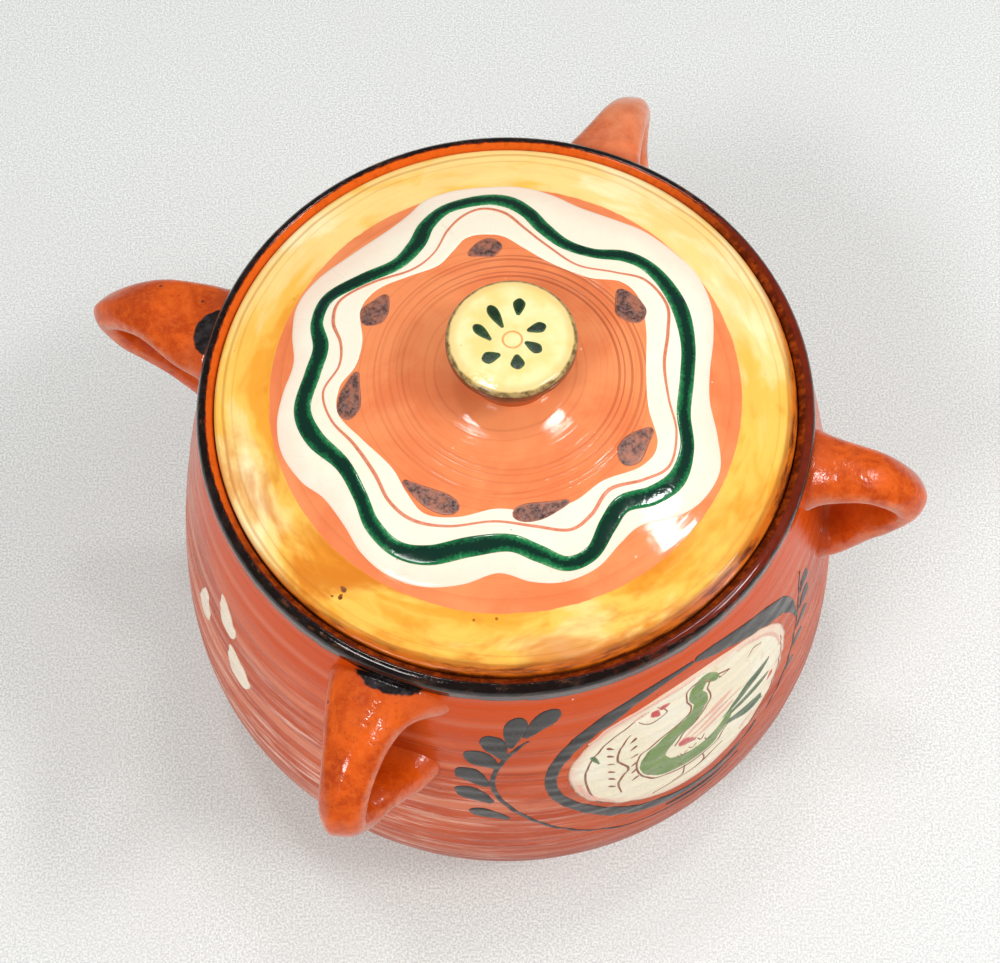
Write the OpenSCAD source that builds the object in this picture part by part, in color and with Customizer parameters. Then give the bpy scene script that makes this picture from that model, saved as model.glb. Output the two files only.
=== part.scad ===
// Lidded stew pot of thrown earthenware: a round belly, four pulled strap handles
// and a low domed lid with a turned knob. Millimetres, +Z up, the origin at the
// centre of the flat foot, and the broad side with the round panel facing -Y.

/* [Pot body] */
// Height from the table to the top of the rim
pot_h = 210; // [203:1:222]
// Outer radius at the widest part of the belly
belly_r = 136; // [131:1:142]
// Height of the widest part of the belly above the table
belly_z = 67; // [58:1:80]
// Radius of the flat foot
foot_r = 84; // [76:1:92]
// Thickness of the thrown wall
wall_t = 7.5; // [6.5:0.5:8.5]
// Thickness of the floor
floor_t = 9; // [7:0.5:12]

/* [Rim and lid seat] */
// Outer radius of the rolled rim
rim_r = 109.7; // [108:0.1:112]
// Width of the ledge inside the rim that carries the lid
ledge_w = 7; // [5:0.5:9]
// Depth of the lid seat below the top of the rim
seat_depth = 7.3; // [6.5:0.1:8.5]
// Gap between the lid and the rim, and between the lid and its ledge
lid_gap = 0.6; // [0.4:0.1:1]

/* [Handles] */
// Distance from the pot's axis to the outside of an average handle's tip
handle_reach = 158; // [154:0.5:161]
// Thickness of the strap
strap_t = 12; // [10:0.5:13]
// Drop from the top of the rim to the middle of the upper root
root_drop = 17.5; // [16.5:0.5:20]
// Drop from the top of the rim to the middle of an average lower root
low_drop = 72; // [68:1:76]

/* [Lid] */
// Radius of the painted dome, where the plain border starts
dome_r = 83; // [76:1:88]
// Height of the middle of the dome above the top of the rim
dome_rise = 21.6; // [18:0.2:25]
// Height of the foot of the dome above the top of the rim
dome_foot_rise = 2.7; // [1.8:0.1:3.5]
// Drop of the lid's outer edge below the top of the rim
border_drop = 0.9; // [0.5:0.1:1.5]
// Thickness of the lid's wall
lid_t = 6.8; // [6:0.2:8]

/* [Knob] */
// Radius of the knob's flat top
knob_r = 22; // [18:0.5:25]
// Radius of the knob where it stands on the dome
knob_foot_r = 15.5; // [13:0.5:17]
// Height of the knob above the middle of the dome
knob_h = 21.6; // [17:0.2:26]
// Distance that the knob stands off the lid's centre, towards +X
knob_shift = 2.4; // [0:0.1:4]

/* [Hidden] */

clay = [0.80, 0.36, 0.20];
glaze = [0.90, 0.70, 0.32];
cream = [0.86, 0.80, 0.56];

round_fn = 96;
curve_steps = 14;

// The rim is a bead that stands a little proud of the wall below it
bead_w = 3.4;
bead_h = 4;
bead_z = pot_h - bead_h;
neck_z = pot_h - 12;
shoulder_z = pot_h - 3;
neck_r = rim_r - 1.3;

// Shape of the belly: how fast the wall turns in above and below its widest part
upper_power = 1.43;
lower_power = 2.2;

// Outside radius of the wall at height z
function wall_r(z) = z >= belly_z ? upper_r(z) : lower_r(z);
function upper_r(z) =
    belly_r - (belly_r - neck_r) * pow((z - belly_z) / (shoulder_z - belly_z), upper_power);
function lower_r(z) = foot_r + (belly_r - foot_r) * bulge((belly_z - z) / belly_z);
function bulge(t) = pow(max(0, 1 - pow(t, lower_power)), 1 / lower_power);

// Lid seat: a step inside the rim, and the ledge that the lid rests on. The ledge is
// lip_t thick at its edge and slopes back to the wall over under_ledge_h.
rim_w = 6;
bevel_h = 2.4;
lip_t = 4;
under_ledge_h = 16;
under_ledge_steps = 6;
seat_r = rim_r - rim_w;
seat_z = pot_h - seat_depth;
ledge_r = seat_r - ledge_w;
lid_r = seat_r - lid_gap;
lid_z = seat_z + lid_gap / 2;

// Outside of the pot from the foot to the top of the rim
foot_round = 2;
lower_side = [for (i = [1 : curve_steps])
    let (z = belly_z * (1 - cos(90 * i / curve_steps)))
    [lower_r(z), z]];
upper_side = [for (i = [1 : curve_steps])
    let (z = belly_z + (neck_z - belly_z) * i / curve_steps)
    [upper_r(z), z]];
rim_bead = [for (a = [-40 : 10 : 100])
    [rim_r - bead_w + bead_w * cos(a), bead_z + bead_h * sin(a)]];

// Inside of the pot from the lid seat down to the floor
inner_top_z = seat_z - under_ledge_h;
inner_r_top = wall_r(inner_top_z) - wall_t;
lid_seat = [
    [seat_r, pot_h - bevel_h],
    [seat_r, seat_z],
    [ledge_r + 1, seat_z],
    [ledge_r, seat_z - 1],
    [ledge_r, seat_z - lip_t]];
under_ledge = [for (i = [1 : under_ledge_steps])
    let (t = i / under_ledge_steps, ease = t * t * (3 - 2 * t))
    [ledge_r + (inner_r_top - ledge_r) * ease, seat_z - lip_t - (under_ledge_h - lip_t) * t]];
inner_upper = [for (i = [1 : curve_steps - 1])
    let (z = inner_top_z + (belly_z - inner_top_z) * i / curve_steps)
    [wall_r(z) - wall_t, z]];
inner_foot_r = foot_r - 10;
inner_belly_r = belly_r - wall_t;
inner_h = belly_z - floor_t;
inner_lower = [for (i = [0 : curve_steps])
    let (t = sin(90 * i / curve_steps))
    [inner_foot_r + (inner_belly_r - inner_foot_r) * bulge(t), belly_z - inner_h * t]];

module pot_body()
    color(clay)
    rotate_extrude($fn = round_fn)
    polygon(concat(
        [[0, 0], [foot_r - foot_round, 0], [foot_r, foot_round * 0.4]],
        lower_side, upper_side, rim_bead, lid_seat, under_ledge, inner_upper, inner_lower,
        [[0, floor_t]]));

// A handle's middle line, as rows of distance from the pot's axis, sideways lean, height
// and the strap's width there. It leaves the wall level, turns over at the tip and comes
// back down to the belly. reach and drop change one handle's length. lean and width each
// hold five values: root, a quarter of the way out, before the tip, tip and lower end.
embed = 4.2;
top_z = pot_h - root_drop;

function handle_points(reach, drop, lean, width) =
    let (tip_r = handle_reach + reach - strap_t / 2,
         low_z = pot_h - low_drop - drop,
         r0 = wall_r(top_z) - embed,
         r1 = wall_r(low_z) - embed)
    [[r0, lean[0], top_z, width[0]],
     [r0 + 0.27 * (tip_r - r0), lean[1], top_z + 1, width[1]],
     [r0 + 0.66 * (tip_r - r0), lean[2], top_z - 0.5, width[2]],
     [tip_r, lean[3], top_z - 12, width[3]],
     [tip_r - 4, 0.8 * lean[3] + 0.2 * lean[4], top_z - 26, width[3]],
     [(tip_r + r1) / 2 + 3, 0.4 * lean[3] + 0.6 * lean[4], (low_z + top_z) / 2 - 9,
      0.6 * width[3] + 0.4 * width[4]],
     [r1 + 9, lean[4], low_z + 4, 0.92 * width[4]],
     [r1, lean[4], low_z, width[4]]];

// Point of a Catmull-Rom curve through points p at parameter u, from 0 to len(p) - 1
function pick(p, i) = p[max(0, min(len(p) - 1, i))];
function curve_point(p, u) =
    let (i = min(floor(u), len(p) - 2), t = u - i,
         a = pick(p, i - 1), b = pick(p, i), c = pick(p, i + 1), d = pick(p, i + 2))
    0.5 * (2 * b + (c - a) * t + (2 * a - 5 * b + 4 * c - d) * t * t
           + (3 * b - a - 3 * c + d) * t * t * t);

// One ring of a flattened section: x and z carry the thickness, y the width
strap_sides = 20;
strap_rings = 40;
section_power = 0.85;
function rounded(v) = sign(v) * pow(abs(v), section_power);
function strap_ring(p, k) =
    let (u = k / (strap_rings - 1) * (len(p) - 1),
         here = curve_point(p, u),
         step = curve_point(p, min(u + 0.02, len(p) - 1)) - curve_point(p, max(u - 0.02, 0)),
         ahead = [step[0], 0, step[2]] / norm([step[0], step[2]]),
         out = [-ahead[2], 0, ahead[0]],
         half = here[3] / 2)
    [for (j = [0 : strap_sides - 1])
        let (a = 360 * j / strap_sides)
        [here[0], here[1], here[2]] + out * (strap_t / 2 * rounded(sin(a)))
        + [0, half * rounded(cos(a)), 0]];

function ring_faces(k) = [for (j = [0 : strap_sides - 1])
    let (n = (j + 1) % strap_sides, a = k * strap_sides, b = (k + 1) * strap_sides)
    [a + j, a + n, b + n, b + j]];

module strap_handle(azimuth, reach, drop, lean, width) {
    p = handle_points(reach, drop, lean, width);
    points = [for (k = [0 : strap_rings - 1]) each strap_ring(p, k)];
    sides = [for (k = [0 : strap_rings - 2]) each ring_faces(k)];
    last = (strap_rings - 1) * strap_sides;
    caps = [[for (j = [strap_sides - 1 : -1 : 0]) j], [for (j = [0 : strap_sides - 1]) last + j]];
    color(clay)
    rotate([0, 0, azimuth])
    polyhedron(points, concat(sides, caps), convexity = 6);
}

// Each handle was pulled and set by eye, so they differ in place, length, lean and width
module handle_front()
    strap_handle(azimuth = -112, reach = 1.5, drop = -12,
                 lean = [0.5, -5, -4, -1.8, 5.5], width = [39, 28.5, 20, 16.5, 25]);
module handle_right()
    strap_handle(azimuth = -12, reach = -3.5, drop = -6,
                 lean = [-2.5, -1.5, -1.2, -0.5, -1.5], width = [28, 24, 20, 18, 24]);
module handle_back()
    strap_handle(azimuth = 69, reach = -3, drop = -2,
                 lean = [0, 0.5, -0.8, -1.2, -7.5], width = [31, 26, 19, 15, 20]);
module handle_left()
    strap_handle(azimuth = 162, reach = 7, drop = -8,
                 lean = [-1, -2.2, -5, -4.6, -6.5], width = [31, 34, 24, 13.5, 22]);

// Height of the top of the lid at radius r
apex_z = pot_h + dome_rise;
dome_foot_z = pot_h + dome_foot_rise;
dome_bend = (apex_z - dome_foot_z) / (dome_r * dome_r);
function dome_z(r) = apex_z - dome_bend * r * r;
edge_z = pot_h - border_drop;

// The border slopes down from the dome to the edge and has a flat underside on the ledge
edge_round = 0.9;
border_flat_r = dome_r + 8;
hollow_r = dome_r + 1;

module lid() {
    top = [for (i = [0 : curve_steps])
        let (r = dome_r * i / curve_steps)
        [r, dome_z(r)]];
    under = [for (i = [curve_steps : -1 : 0])
        let (r = hollow_r * i / curve_steps)
        [r, dome_z(r) - lid_t]];
    edge = [
        [lid_r - edge_round, edge_z],
        [lid_r, edge_z - edge_round],
        [lid_r, lid_z + edge_round],
        [lid_r - edge_round, lid_z],
        [border_flat_r, lid_z]];
    color(glaze)
    rotate_extrude($fn = round_fn)
    polygon(concat(top, edge, under));
}

knob_sink = 1.6;
knob_edge = 2.2;
knob_crown = 0.9;
neck_flare = 1.8;
neck_steps = 8;
knob_top_z = apex_z + knob_h;
knob_foot_z = dome_z(knob_foot_r + knob_shift);
neck_top_z = knob_top_z - knob_crown - 2 * knob_edge;

// A foot, a hollow neck that flares outwards, a soft edge and a slightly crowned top
module lid_knob() {
    neck = [for (i = [0 : neck_steps])
        let (t = i / neck_steps)
        [knob_foot_r + (knob_r - knob_foot_r) * pow(t, neck_flare),
         knob_foot_z + (neck_top_z - knob_foot_z) * t]];
    rim = [for (a = [0 : 18 : 90])
        [knob_r - knob_edge + knob_edge * cos(a),
         knob_top_z - knob_crown - knob_edge + knob_edge * sin(a)]];
    foot_z = knob_foot_z - knob_sink;
    color(cream)
    translate([knob_shift, 0, 0])
    rotate_extrude($fn = round_fn)
    polygon(concat([[0, foot_z], [knob_foot_r, foot_z]], neck, rim, [[0, knob_top_z]]));
}

pot_body();
handle_front();
handle_right();
handle_back();
handle_left();
lid();
lid_knob();
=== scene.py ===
import bpy
import numpy as np
from mathutils import Matrix, Vector


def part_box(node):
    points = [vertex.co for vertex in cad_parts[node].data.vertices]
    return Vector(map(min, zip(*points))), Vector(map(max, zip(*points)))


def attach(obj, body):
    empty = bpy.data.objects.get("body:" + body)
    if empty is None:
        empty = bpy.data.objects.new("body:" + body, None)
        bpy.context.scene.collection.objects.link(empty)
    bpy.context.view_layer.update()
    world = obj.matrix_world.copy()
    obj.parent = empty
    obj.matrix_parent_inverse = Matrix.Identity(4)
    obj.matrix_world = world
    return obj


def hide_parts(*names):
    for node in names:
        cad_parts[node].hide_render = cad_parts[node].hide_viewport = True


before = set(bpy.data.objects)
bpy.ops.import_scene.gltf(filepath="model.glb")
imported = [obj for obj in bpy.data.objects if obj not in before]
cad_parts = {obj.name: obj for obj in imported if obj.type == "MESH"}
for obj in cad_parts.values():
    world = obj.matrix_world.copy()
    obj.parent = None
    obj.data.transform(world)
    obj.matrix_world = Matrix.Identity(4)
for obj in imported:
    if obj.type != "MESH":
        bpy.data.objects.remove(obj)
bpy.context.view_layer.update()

# ---------------------------------------------------------------------------------------
# Pot body
# A round-bellied stew pot, thrown on a wheel in red earthenware. Its rim has a step and a
# ledge inside for the lid. It is clear-glazed over the clay, with black slip on the rim.

MM = 0.001
POT_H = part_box("pot_body")[1].z / MM
BELLY_R, BELLY_Z = 136.0, 67.0
FOOT_R, FOOT_ROUND = 84.0, 2.0
NECK_R, NECK_Z, SHOULDER_Z = 108.4, POT_H - 12, POT_H - 3
RIM_R, BEAD_W, BEAD_H = 109.7, 3.4, 4.0
SEAT_R, SEAT_Z, LEDGE_R = 103.7, POT_H - 7.3, 96.7
WALL_T, FLOOR_T = 7.5, 9.0
SLIP_DEPTH = 10.2  # how far the black slip runs down from the top of the rim


def wall_radius(z):
    """Outside radius of the wall at height z. Above the belly it narrows by a power of the
    height, and below it follows a rounded, superelliptic curve to the foot."""
    above = np.clip((z - BELLY_Z) / (SHOULDER_Z - BELLY_Z), 0, None)
    below = np.clip((BELLY_Z - z) / BELLY_Z, 0, 1)
    upper = BELLY_R - (BELLY_R - NECK_R) * above**1.43
    lower = FOOT_R + (BELLY_R - FOOT_R) * (1 - below**2.2) ** (1 / 2.2)
    return np.where(z >= BELLY_Z, upper, lower)


def ease(value, low, high):
    """0 below low, 1 above high, and the smooth curve 3t^2 - 2t^3 in between."""
    t = np.clip((value - low) / (high - low), 0, 1)
    return t * t * (3 - 2 * t)


def throwing_marks(azimuth, z):
    """How far the thrown wall stands off its true curve: finger ridges that climb as a
    spiral and a belly that is a little out of round, fading at the foot and the rim."""
    ridges = 0.13 * np.sin(2 * np.pi * z / 9.6 + azimuth)
    ridges = ridges + 0.09 * np.sin(2 * np.pi * z / 5.4 + azimuth + 1.1)
    out_of_round = 0.35 * np.sin(2 * azimuth + 0.7) + 0.2 * np.sin(3 * azimuth + 2.0)
    return (ridges + out_of_round) * ease(z, 3, 24) * (1 - ease(z, 172, 197))


def evenly(points, spacing):
    """The same line through points, cut at even distances of about spacing."""
    points = np.asarray(points, float)
    run = np.append(0, np.cumsum(np.hypot(*np.diff(points, axis=0).T)))
    stops = np.linspace(0, run[-1], max(2, int(round(run[-1] / spacing)) + 1))
    return np.stack([np.interp(stops, run, points[:, k]) for k in (0, 1)], -1)


def turned(profile, around, marks=None):
    """A profile of (radius, height) rows turned about the upright axis, as rows x around
    points. marks(azimuth, height) is added to the radius."""
    azimuth = np.linspace(0, 2 * np.pi, around, endpoint=False)[None, :]
    r, z = profile[:, :1], profile[:, 1:] + 0 * azimuth
    r = r + (marks(azimuth, z) * ease(r, 0, 60) if marks else 0 * azimuth)
    return np.stack([r * np.cos(azimuth), r * np.sin(azimuth), z], -1)


def fired(name, forms, looped=False, **marks):
    """One mesh from closed forms, each a grid of rows x columns points in mm. Columns join
    up round each row. The first and last rows close to a point, or join when looped. Each
    mark is a list of rows x columns numbers that the finish reads at the points."""
    points, fours, threes, values, start = [], [], [], {k: [] for k in marks}, 0
    for n, form in enumerate(forms):
        rows, columns = form.shape[:2]
        ids = start + np.arange(rows * columns).reshape(rows, columns)
        keep = np.ones(rows * columns, bool)
        flat = form.reshape(-1, 3).copy()
        if not looped:
            flat[:columns], flat[-columns:] = form[0].mean(0), form[-1].mean(0)
            keep[1:columns] = keep[-columns + 1:] = False
            number = start + np.cumsum(keep) - 1
            ids = number.reshape(rows, columns)
            ids[0], ids[-1] = number[0], number[-columns]
        here = np.vstack([ids, ids[:1]]) if looped else ids
        near, far = here[:-1], here[1:]
        quads = np.stack([near, np.roll(near, -1, 1), np.roll(far, -1, 1), far], -1)
        body = quads if looped else quads[1:-1]
        body, caps = body.reshape(-1, 4), np.empty((0, 3), int)
        if not looped:
            caps = np.vstack([quads[0][:, [0, 2, 3]], quads[-1][:, [0, 1, 2]]])
        flat = flat[keep]
        corners = flat[np.vstack([body[:, :3], body[:, [0, 2, 3]], caps]) - start]
        volume = np.einsum("ij,ij->", corners[:, 0], np.cross(corners[:, 1], corners[:, 2]))
        turn = slice(None, None, 1 if volume > 0 else -1)
        fours.append(body[:, turn])
        threes.append(caps[:, turn])
        points.append(flat)
        for key, grids in marks.items():
            values[key].append(np.broadcast_to(grids[n], (rows, columns)).ravel()[keep])
        start += len(flat)
    mesh = bpy.data.meshes.new(name)
    faces = np.vstack(fours).tolist() + np.vstack(threes).tolist()
    mesh.from_pydata((np.vstack(points) * MM).tolist(), [], faces)
    for key, parts in values.items():
        mark = mesh.attributes.new(key, "FLOAT", "POINT")
        mark.data.foreach_set("value", np.concatenate(parts).astype(np.float32))
    mesh.polygons.foreach_set("use_smooth", np.ones(len(faces), bool))
    piece = bpy.data.objects.new(name, mesh)
    bpy.context.scene.collection.objects.link(piece)
    return piece


def settle(piece, material, body, slot, *nodes):
    """Finishes a piece: its material, the body it moves with and the nodes that it stands
    for, which it hides. slot, its finish, is not used."""
    piece.data.materials.append(material)
    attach(piece, body)
    if nodes:
        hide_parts(*nodes)
    return piece


quarter = np.radians(np.linspace(0, 90, 50))[1:]
low_z = BELLY_Z * (1 - np.cos(quarter))
high_z = np.linspace(BELLY_Z, NECK_Z, 70)[1:]
bead = np.radians(np.arange(-40, 96, 5))
outside = np.vstack([
    [[FOOT_R, FOOT_ROUND * 0.4]],
    np.stack([wall_radius(low_z), low_z], -1),
    np.stack([wall_radius(high_z), high_z], -1),
])
rim_line = np.stack([RIM_R - BEAD_W + BEAD_W * np.cos(bead), POT_H - BEAD_H + BEAD_H * np.sin(bead)], -1)
under_t = np.linspace(0, 1, 12)[1:]
INNER_TOP_Z = SEAT_Z - 16
inner_top_r = wall_radius(INNER_TOP_Z) - WALL_T
under_ledge = np.stack([LEDGE_R + (inner_top_r - LEDGE_R) * ease(under_t, 0, 1),
                        SEAT_Z - 4 - 12 * under_t], -1)
inner_z = np.linspace(INNER_TOP_Z, BELLY_Z, 26)[1:]
inner_t = np.sin(np.radians(np.linspace(0, 90, 24)))[1:]
INNER_FOOT_R = FOOT_R - 10
inner_low = np.stack([
    INNER_FOOT_R + (BELLY_R - WALL_T - INNER_FOOT_R) * (1 - inner_t**2.2) ** (1 / 2.2),
    BELLY_Z - (BELLY_Z - FLOOR_T) * inner_t], -1)
seat = [[SEAT_R, POT_H - 2.4], [SEAT_R, SEAT_Z], [LEDGE_R + 1, SEAT_Z], [LEDGE_R, SEAT_Z - 1],
        [LEDGE_R, SEAT_Z - 4]]
pot_profile = np.vstack([
    evenly([[0, 0], [FOOT_R - FOOT_ROUND, 0]], 9),
    outside,
    evenly(rim_line, 0.55),
    evenly([rim_line[-1]] + seat, 0.9)[1:],
    under_ledge,
    np.stack([wall_radius(inner_z) - WALL_T, inner_z], -1),
    inner_low,
    evenly([inner_low[-1], [0, FLOOR_T]], 9)[1:],
])
run = np.append(0, np.cumsum(np.hypot(*np.diff(pot_profile, axis=0).T)))
top_row = np.argmax(pot_profile[:, 1])
from_rim = (run[top_row] - run)[:, None]
# Where the handles' thicker glaze ran on to the wall, as (azimuth, height) of each end
HANDLE_ENDS = [(-112, 192), (-109, 150), (-12, 191), (-13, 145), (69, 192), (65, 141), (162, 192),
               (159, 147)]
pot_form = turned(pot_profile, 360, throwing_marks)
pot_azimuth = np.arctan2(pot_form[..., 1], pot_form[..., 0])
near_handle = np.zeros(pot_form.shape[:2])
for end_azimuth, end_z in HANDLE_ENDS:
    apart = np.degrees(np.angle(np.exp(1j * (pot_azimuth - np.radians(end_azimuth))))) * 2.2
    near_handle += np.exp(-(apart / 21) ** 2 - ((pot_form[..., 2] - end_z) / 14) ** 2)
pot = fired("pot_thrown_body", [pot_form], from_rim=[from_rim], near_handle=[near_handle])


def shade(red, green, blue):
    """A colour from a paint card, 0 to 255 a channel, as linear light."""
    c = np.array([red, green, blue]) / 255
    return (*np.where(c <= 0.04045, c / 12.92, ((c + 0.055) / 1.055) ** 2.4), 1.0)


class Recipe:
    """A glaze, slip or clay being mixed: one node tree, with short ways to add nodes."""

    def __init__(self, tree):
        self.tree = tree

    def node(self, kind, inputs=None, **settings):
        """Adds a node. A socket given as an input is linked, any other value is set."""
        made = self.tree.nodes.new("ShaderNode" + kind)
        for name, value in settings.items():
            setattr(made, name, value)
        for key, value in (inputs or {}).items():
            if isinstance(value, bpy.types.NodeSocket):
                self.tree.links.new(value, made.inputs[key])
            else:
                made.inputs[key].default_value = value
        return made

    def math(self, operation, a, b=0.0):
        """One sum of numbers, such as ADD or MULTIPLY."""
        return self.node("Math", {0: a, 1: b}, operation=operation).outputs[0]

    def times(self, a, b):
        """a multiplied by b."""
        return self.math("MULTIPLY", a, b)

    def plus(self, a, b):
        """a and b added."""
        return self.math("ADD", a, b)

    def minus(self, a, b):
        """b taken from a."""
        return self.math("SUBTRACT", a, b)

    def over(self, a, b):
        """a divided by b."""
        return self.math("DIVIDE", a, b)

    def toward(self, x, y, along_x, along_y, reach):
        """How far a place lies in the direction (along_x, along_y), as a share of reach."""
        return self.over(self.plus(self.times(x, along_x), self.times(y, along_y)), reach)

    def smooth(self, value, low, high, start=0.0, end=1.0):
        """Goes smoothly from start to end as value goes from low to high."""
        inputs = {0: value, 1: low, 2: high, 3: start, 4: end}
        return self.node("MapRange", inputs, interpolation_type="SMOOTHSTEP").outputs[0]

    def scaled(self, place, x, y, z):
        """A position with each direction multiplied, to stretch or shrink a pattern."""
        return self.node("VectorMath", {0: place, 1: (x, y, z)}, operation="MULTIPLY").outputs[0]

    def noise(self, place, size, detail=3.0, rough=0.55, twist=0.0):
        """Cloudy noise from 0 to 1, with features about size mm across."""
        near = self.scaled(place, 1 / size, 1 / size, 1 / size)
        inputs = {"Vector": near, "Scale": 1.0, "Detail": detail, "Roughness": rough,
                  "Distortion": twist}
        return self.node("TexNoise", inputs).outputs[0]

    def mix(self, share, a, b, how="MIX"):
        """Colour a, with share of colour b mixed in."""
        made = self.node("Mix", {0: share, 6: a, 7: b}, data_type="RGBA", blend_type=how)
        return made.outputs[2]

    def mark(self, name):
        """The piece's own number at each point, as fired() stored it."""
        return self.node("Attribute", attribute_name=name).outputs["Fac"]

    def use(self, effect, inputs):
        """Puts a shared effect into this recipe, and gives its outputs."""
        made = self.node("Group")
        made.node_tree = effect
        for key, value in inputs.items():
            if isinstance(value, bpy.types.NodeSocket):
                self.tree.links.new(value, made.inputs[key])
            else:
                made.inputs[key].default_value = value
        return made.outputs


def effect(name, inputs, outputs):
    """A new shader node group with those inputs, None for a position, and number outputs.
    Returns its recipe, its inside inputs and its inside outputs."""
    tree = bpy.data.node_groups.new(name, "ShaderNodeTree")
    for key, value in inputs.items():
        kind = "NodeSocketVector" if value is None else "NodeSocketFloat"
        socket = tree.interface.new_socket(name=key, in_out="INPUT", socket_type=kind)
        if value is not None:
            socket.default_value = value
    for key in outputs:
        tree.interface.new_socket(name=key, in_out="OUTPUT", socket_type="NodeSocketFloat")
    recipe = Recipe(tree)
    given = tree.nodes.new("NodeGroupInput").outputs
    wanted = tree.nodes.new("NodeGroupOutput").inputs
    return recipe, given, wanted


def new_finish(name, **constants):
    """A material with its shader, its recipe and the object's own position in mm."""
    material = bpy.data.materials.new(name)
    material.use_nodes = True
    shader = material.node_tree.nodes["Principled BSDF"]
    for key, value in constants.items():
        shader.inputs[key.replace("_", " ")].default_value = value
    recipe = Recipe(material.node_tree)
    place = recipe.scaled(recipe.node("TexCoord").outputs["Object"], 1000, 1000, 1000)
    return material, recipe, shader, place


def coat_with(recipe, shader, colour, roughness, height, depth):
    """Joins a recipe's colour, roughness and relief to its shader. depth is in mm."""
    tree = recipe.tree
    tree.links.new(colour, shader.inputs["Base Color"])
    tree.links.new(roughness, shader.inputs["Roughness"])
    bump = recipe.node("Bump", {"Height": height, "Strength": 1.0, "Distance": depth * MM})
    tree.links.new(bump.outputs[0], shader.inputs["Normal"])


# Fine lines left by the fingers and the rib as the clay turns
g, given, wanted = effect("wheel_lines", {"Distance": 0.0, "Spacing": 1.5, "Place": None},
                          ["Lines", "Bands"])
wander = g.times(g.noise(given["Place"], 45, 2.0), 3.0)
turns = g.over(g.plus(given["Distance"], wander), given["Spacing"])
fine = g.node("TexNoise", {"W": turns, "Scale": 1.0, "Detail": 4.0, "Roughness": 0.7},
              noise_dimensions="1D")
wide = g.node("TexNoise", {"W": turns, "Scale": 0.13, "Detail": 2.0}, noise_dimensions="1D")
g.tree.links.new(fine.outputs[0], wanted["Lines"])
g.tree.links.new(wide.outputs[0], wanted["Bands"])
wheel_lines = g.tree

# A zone's edge that wanders as a brushed or dipped glaze does: 1 past the edge, 0 before it
g, given, wanted = effect("ragged_zone", {"Distance": 0.0, "Edge": 0.0, "Softness": 0.6,
                                          "Raggedness": 1.0, "Grain": 4.0, "Place": None}, ["Mask"])
near = g.node("VectorMath", {0: given["Place"], 1: (1.0, 1.0, 1.0)}, operation="DIVIDE")
grain = g.node("CombineXYZ", {0: given["Grain"], 1: given["Grain"], 2: given["Grain"]}).outputs[0]
g.tree.links.new(grain, near.inputs[1])
cloud = g.node("TexNoise", {"Vector": near.outputs[0], "Scale": 1.0, "Detail": 4.0}).outputs[0]
push = g.times(g.minus(cloud, 0.5), g.times(given["Raggedness"], 2.0))
past = g.minus(g.plus(given["Distance"], push), given["Edge"])
g.tree.links.new(g.smooth(g.over(past, given["Softness"]), -0.5, 0.5), wanted["Mask"])
ragged_zone = g.tree

# Small scattered spots: pinholes in the glaze, or grits and specks on it
g, given, wanted = effect("specks", {"Size": 0.5, "Gap": 6.0, "Share": 0.5, "Place": None}, ["Spots"])
step = g.node("CombineXYZ", {0: given["Gap"], 1: given["Gap"], 2: given["Gap"]}).outputs[0]
cell = g.node("VectorMath", {0: given["Place"], 1: step}, operation="DIVIDE").outputs[0]
dots = g.node("TexVoronoi", {"Vector": cell, "Scale": 1.0, "Randomness": 1.0})
chosen = g.node("SeparateXYZ", {0: dots.outputs["Color"]}).outputs
reach = g.times(g.over(given["Size"], given["Gap"]), chosen[1])
spot = g.smooth(g.over(dots.outputs["Distance"], g.math("MAXIMUM", reach, 0.001)), 1.1, 0.7)
picked = g.math("LESS_THAN", chosen[0], given["Share"])
g.tree.links.new(g.times(spot, picked), wanted["Spots"])
specks = g.tree

# The skin of a thick glaze: dimples like orange peel, at two sizes
g, given, wanted = effect("orange_peel", {"Size": 1.6, "Place": None}, ["Height"])
step = g.node("CombineXYZ", {0: given["Size"], 1: given["Size"], 2: given["Size"]}).outputs[0]
cell = g.node("VectorMath", {0: given["Place"], 1: step}, operation="DIVIDE").outputs[0]
small = g.node("TexNoise", {"Vector": cell, "Scale": 1.0, "Detail": 2.0, "Roughness": 0.5}).outputs[0]
large = g.node("TexNoise", {"Vector": cell, "Scale": 0.24, "Detail": 1.0}).outputs[0]
g.tree.links.new(g.plus(g.times(small, 0.55), large), wanted["Height"])
orange_peel = g.tree


def scattered(recipe, size, gap, share, place):
    """The spots of the specks effect, up to size mm wide and about gap mm apart."""
    return recipe.use(specks, {"Size": size, "Gap": gap, "Share": share, "Place": place})["Spots"]


def dimpled(recipe, size, place):
    """The height of the orange peel effect, with dimples about size mm apart."""
    return recipe.use(orange_peel, {"Size": size, "Place": place})["Height"]


def ragged(recipe, distance, edge, softness, raggedness, grain, place):
    """The mask of the ragged zone effect: 1 where distance is past its wandering edge."""
    return recipe.use(ragged_zone, {"Distance": distance, "Edge": edge, "Softness": softness,
                                    "Raggedness": raggedness, "Grain": grain, "Place": place})["Mask"]


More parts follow.
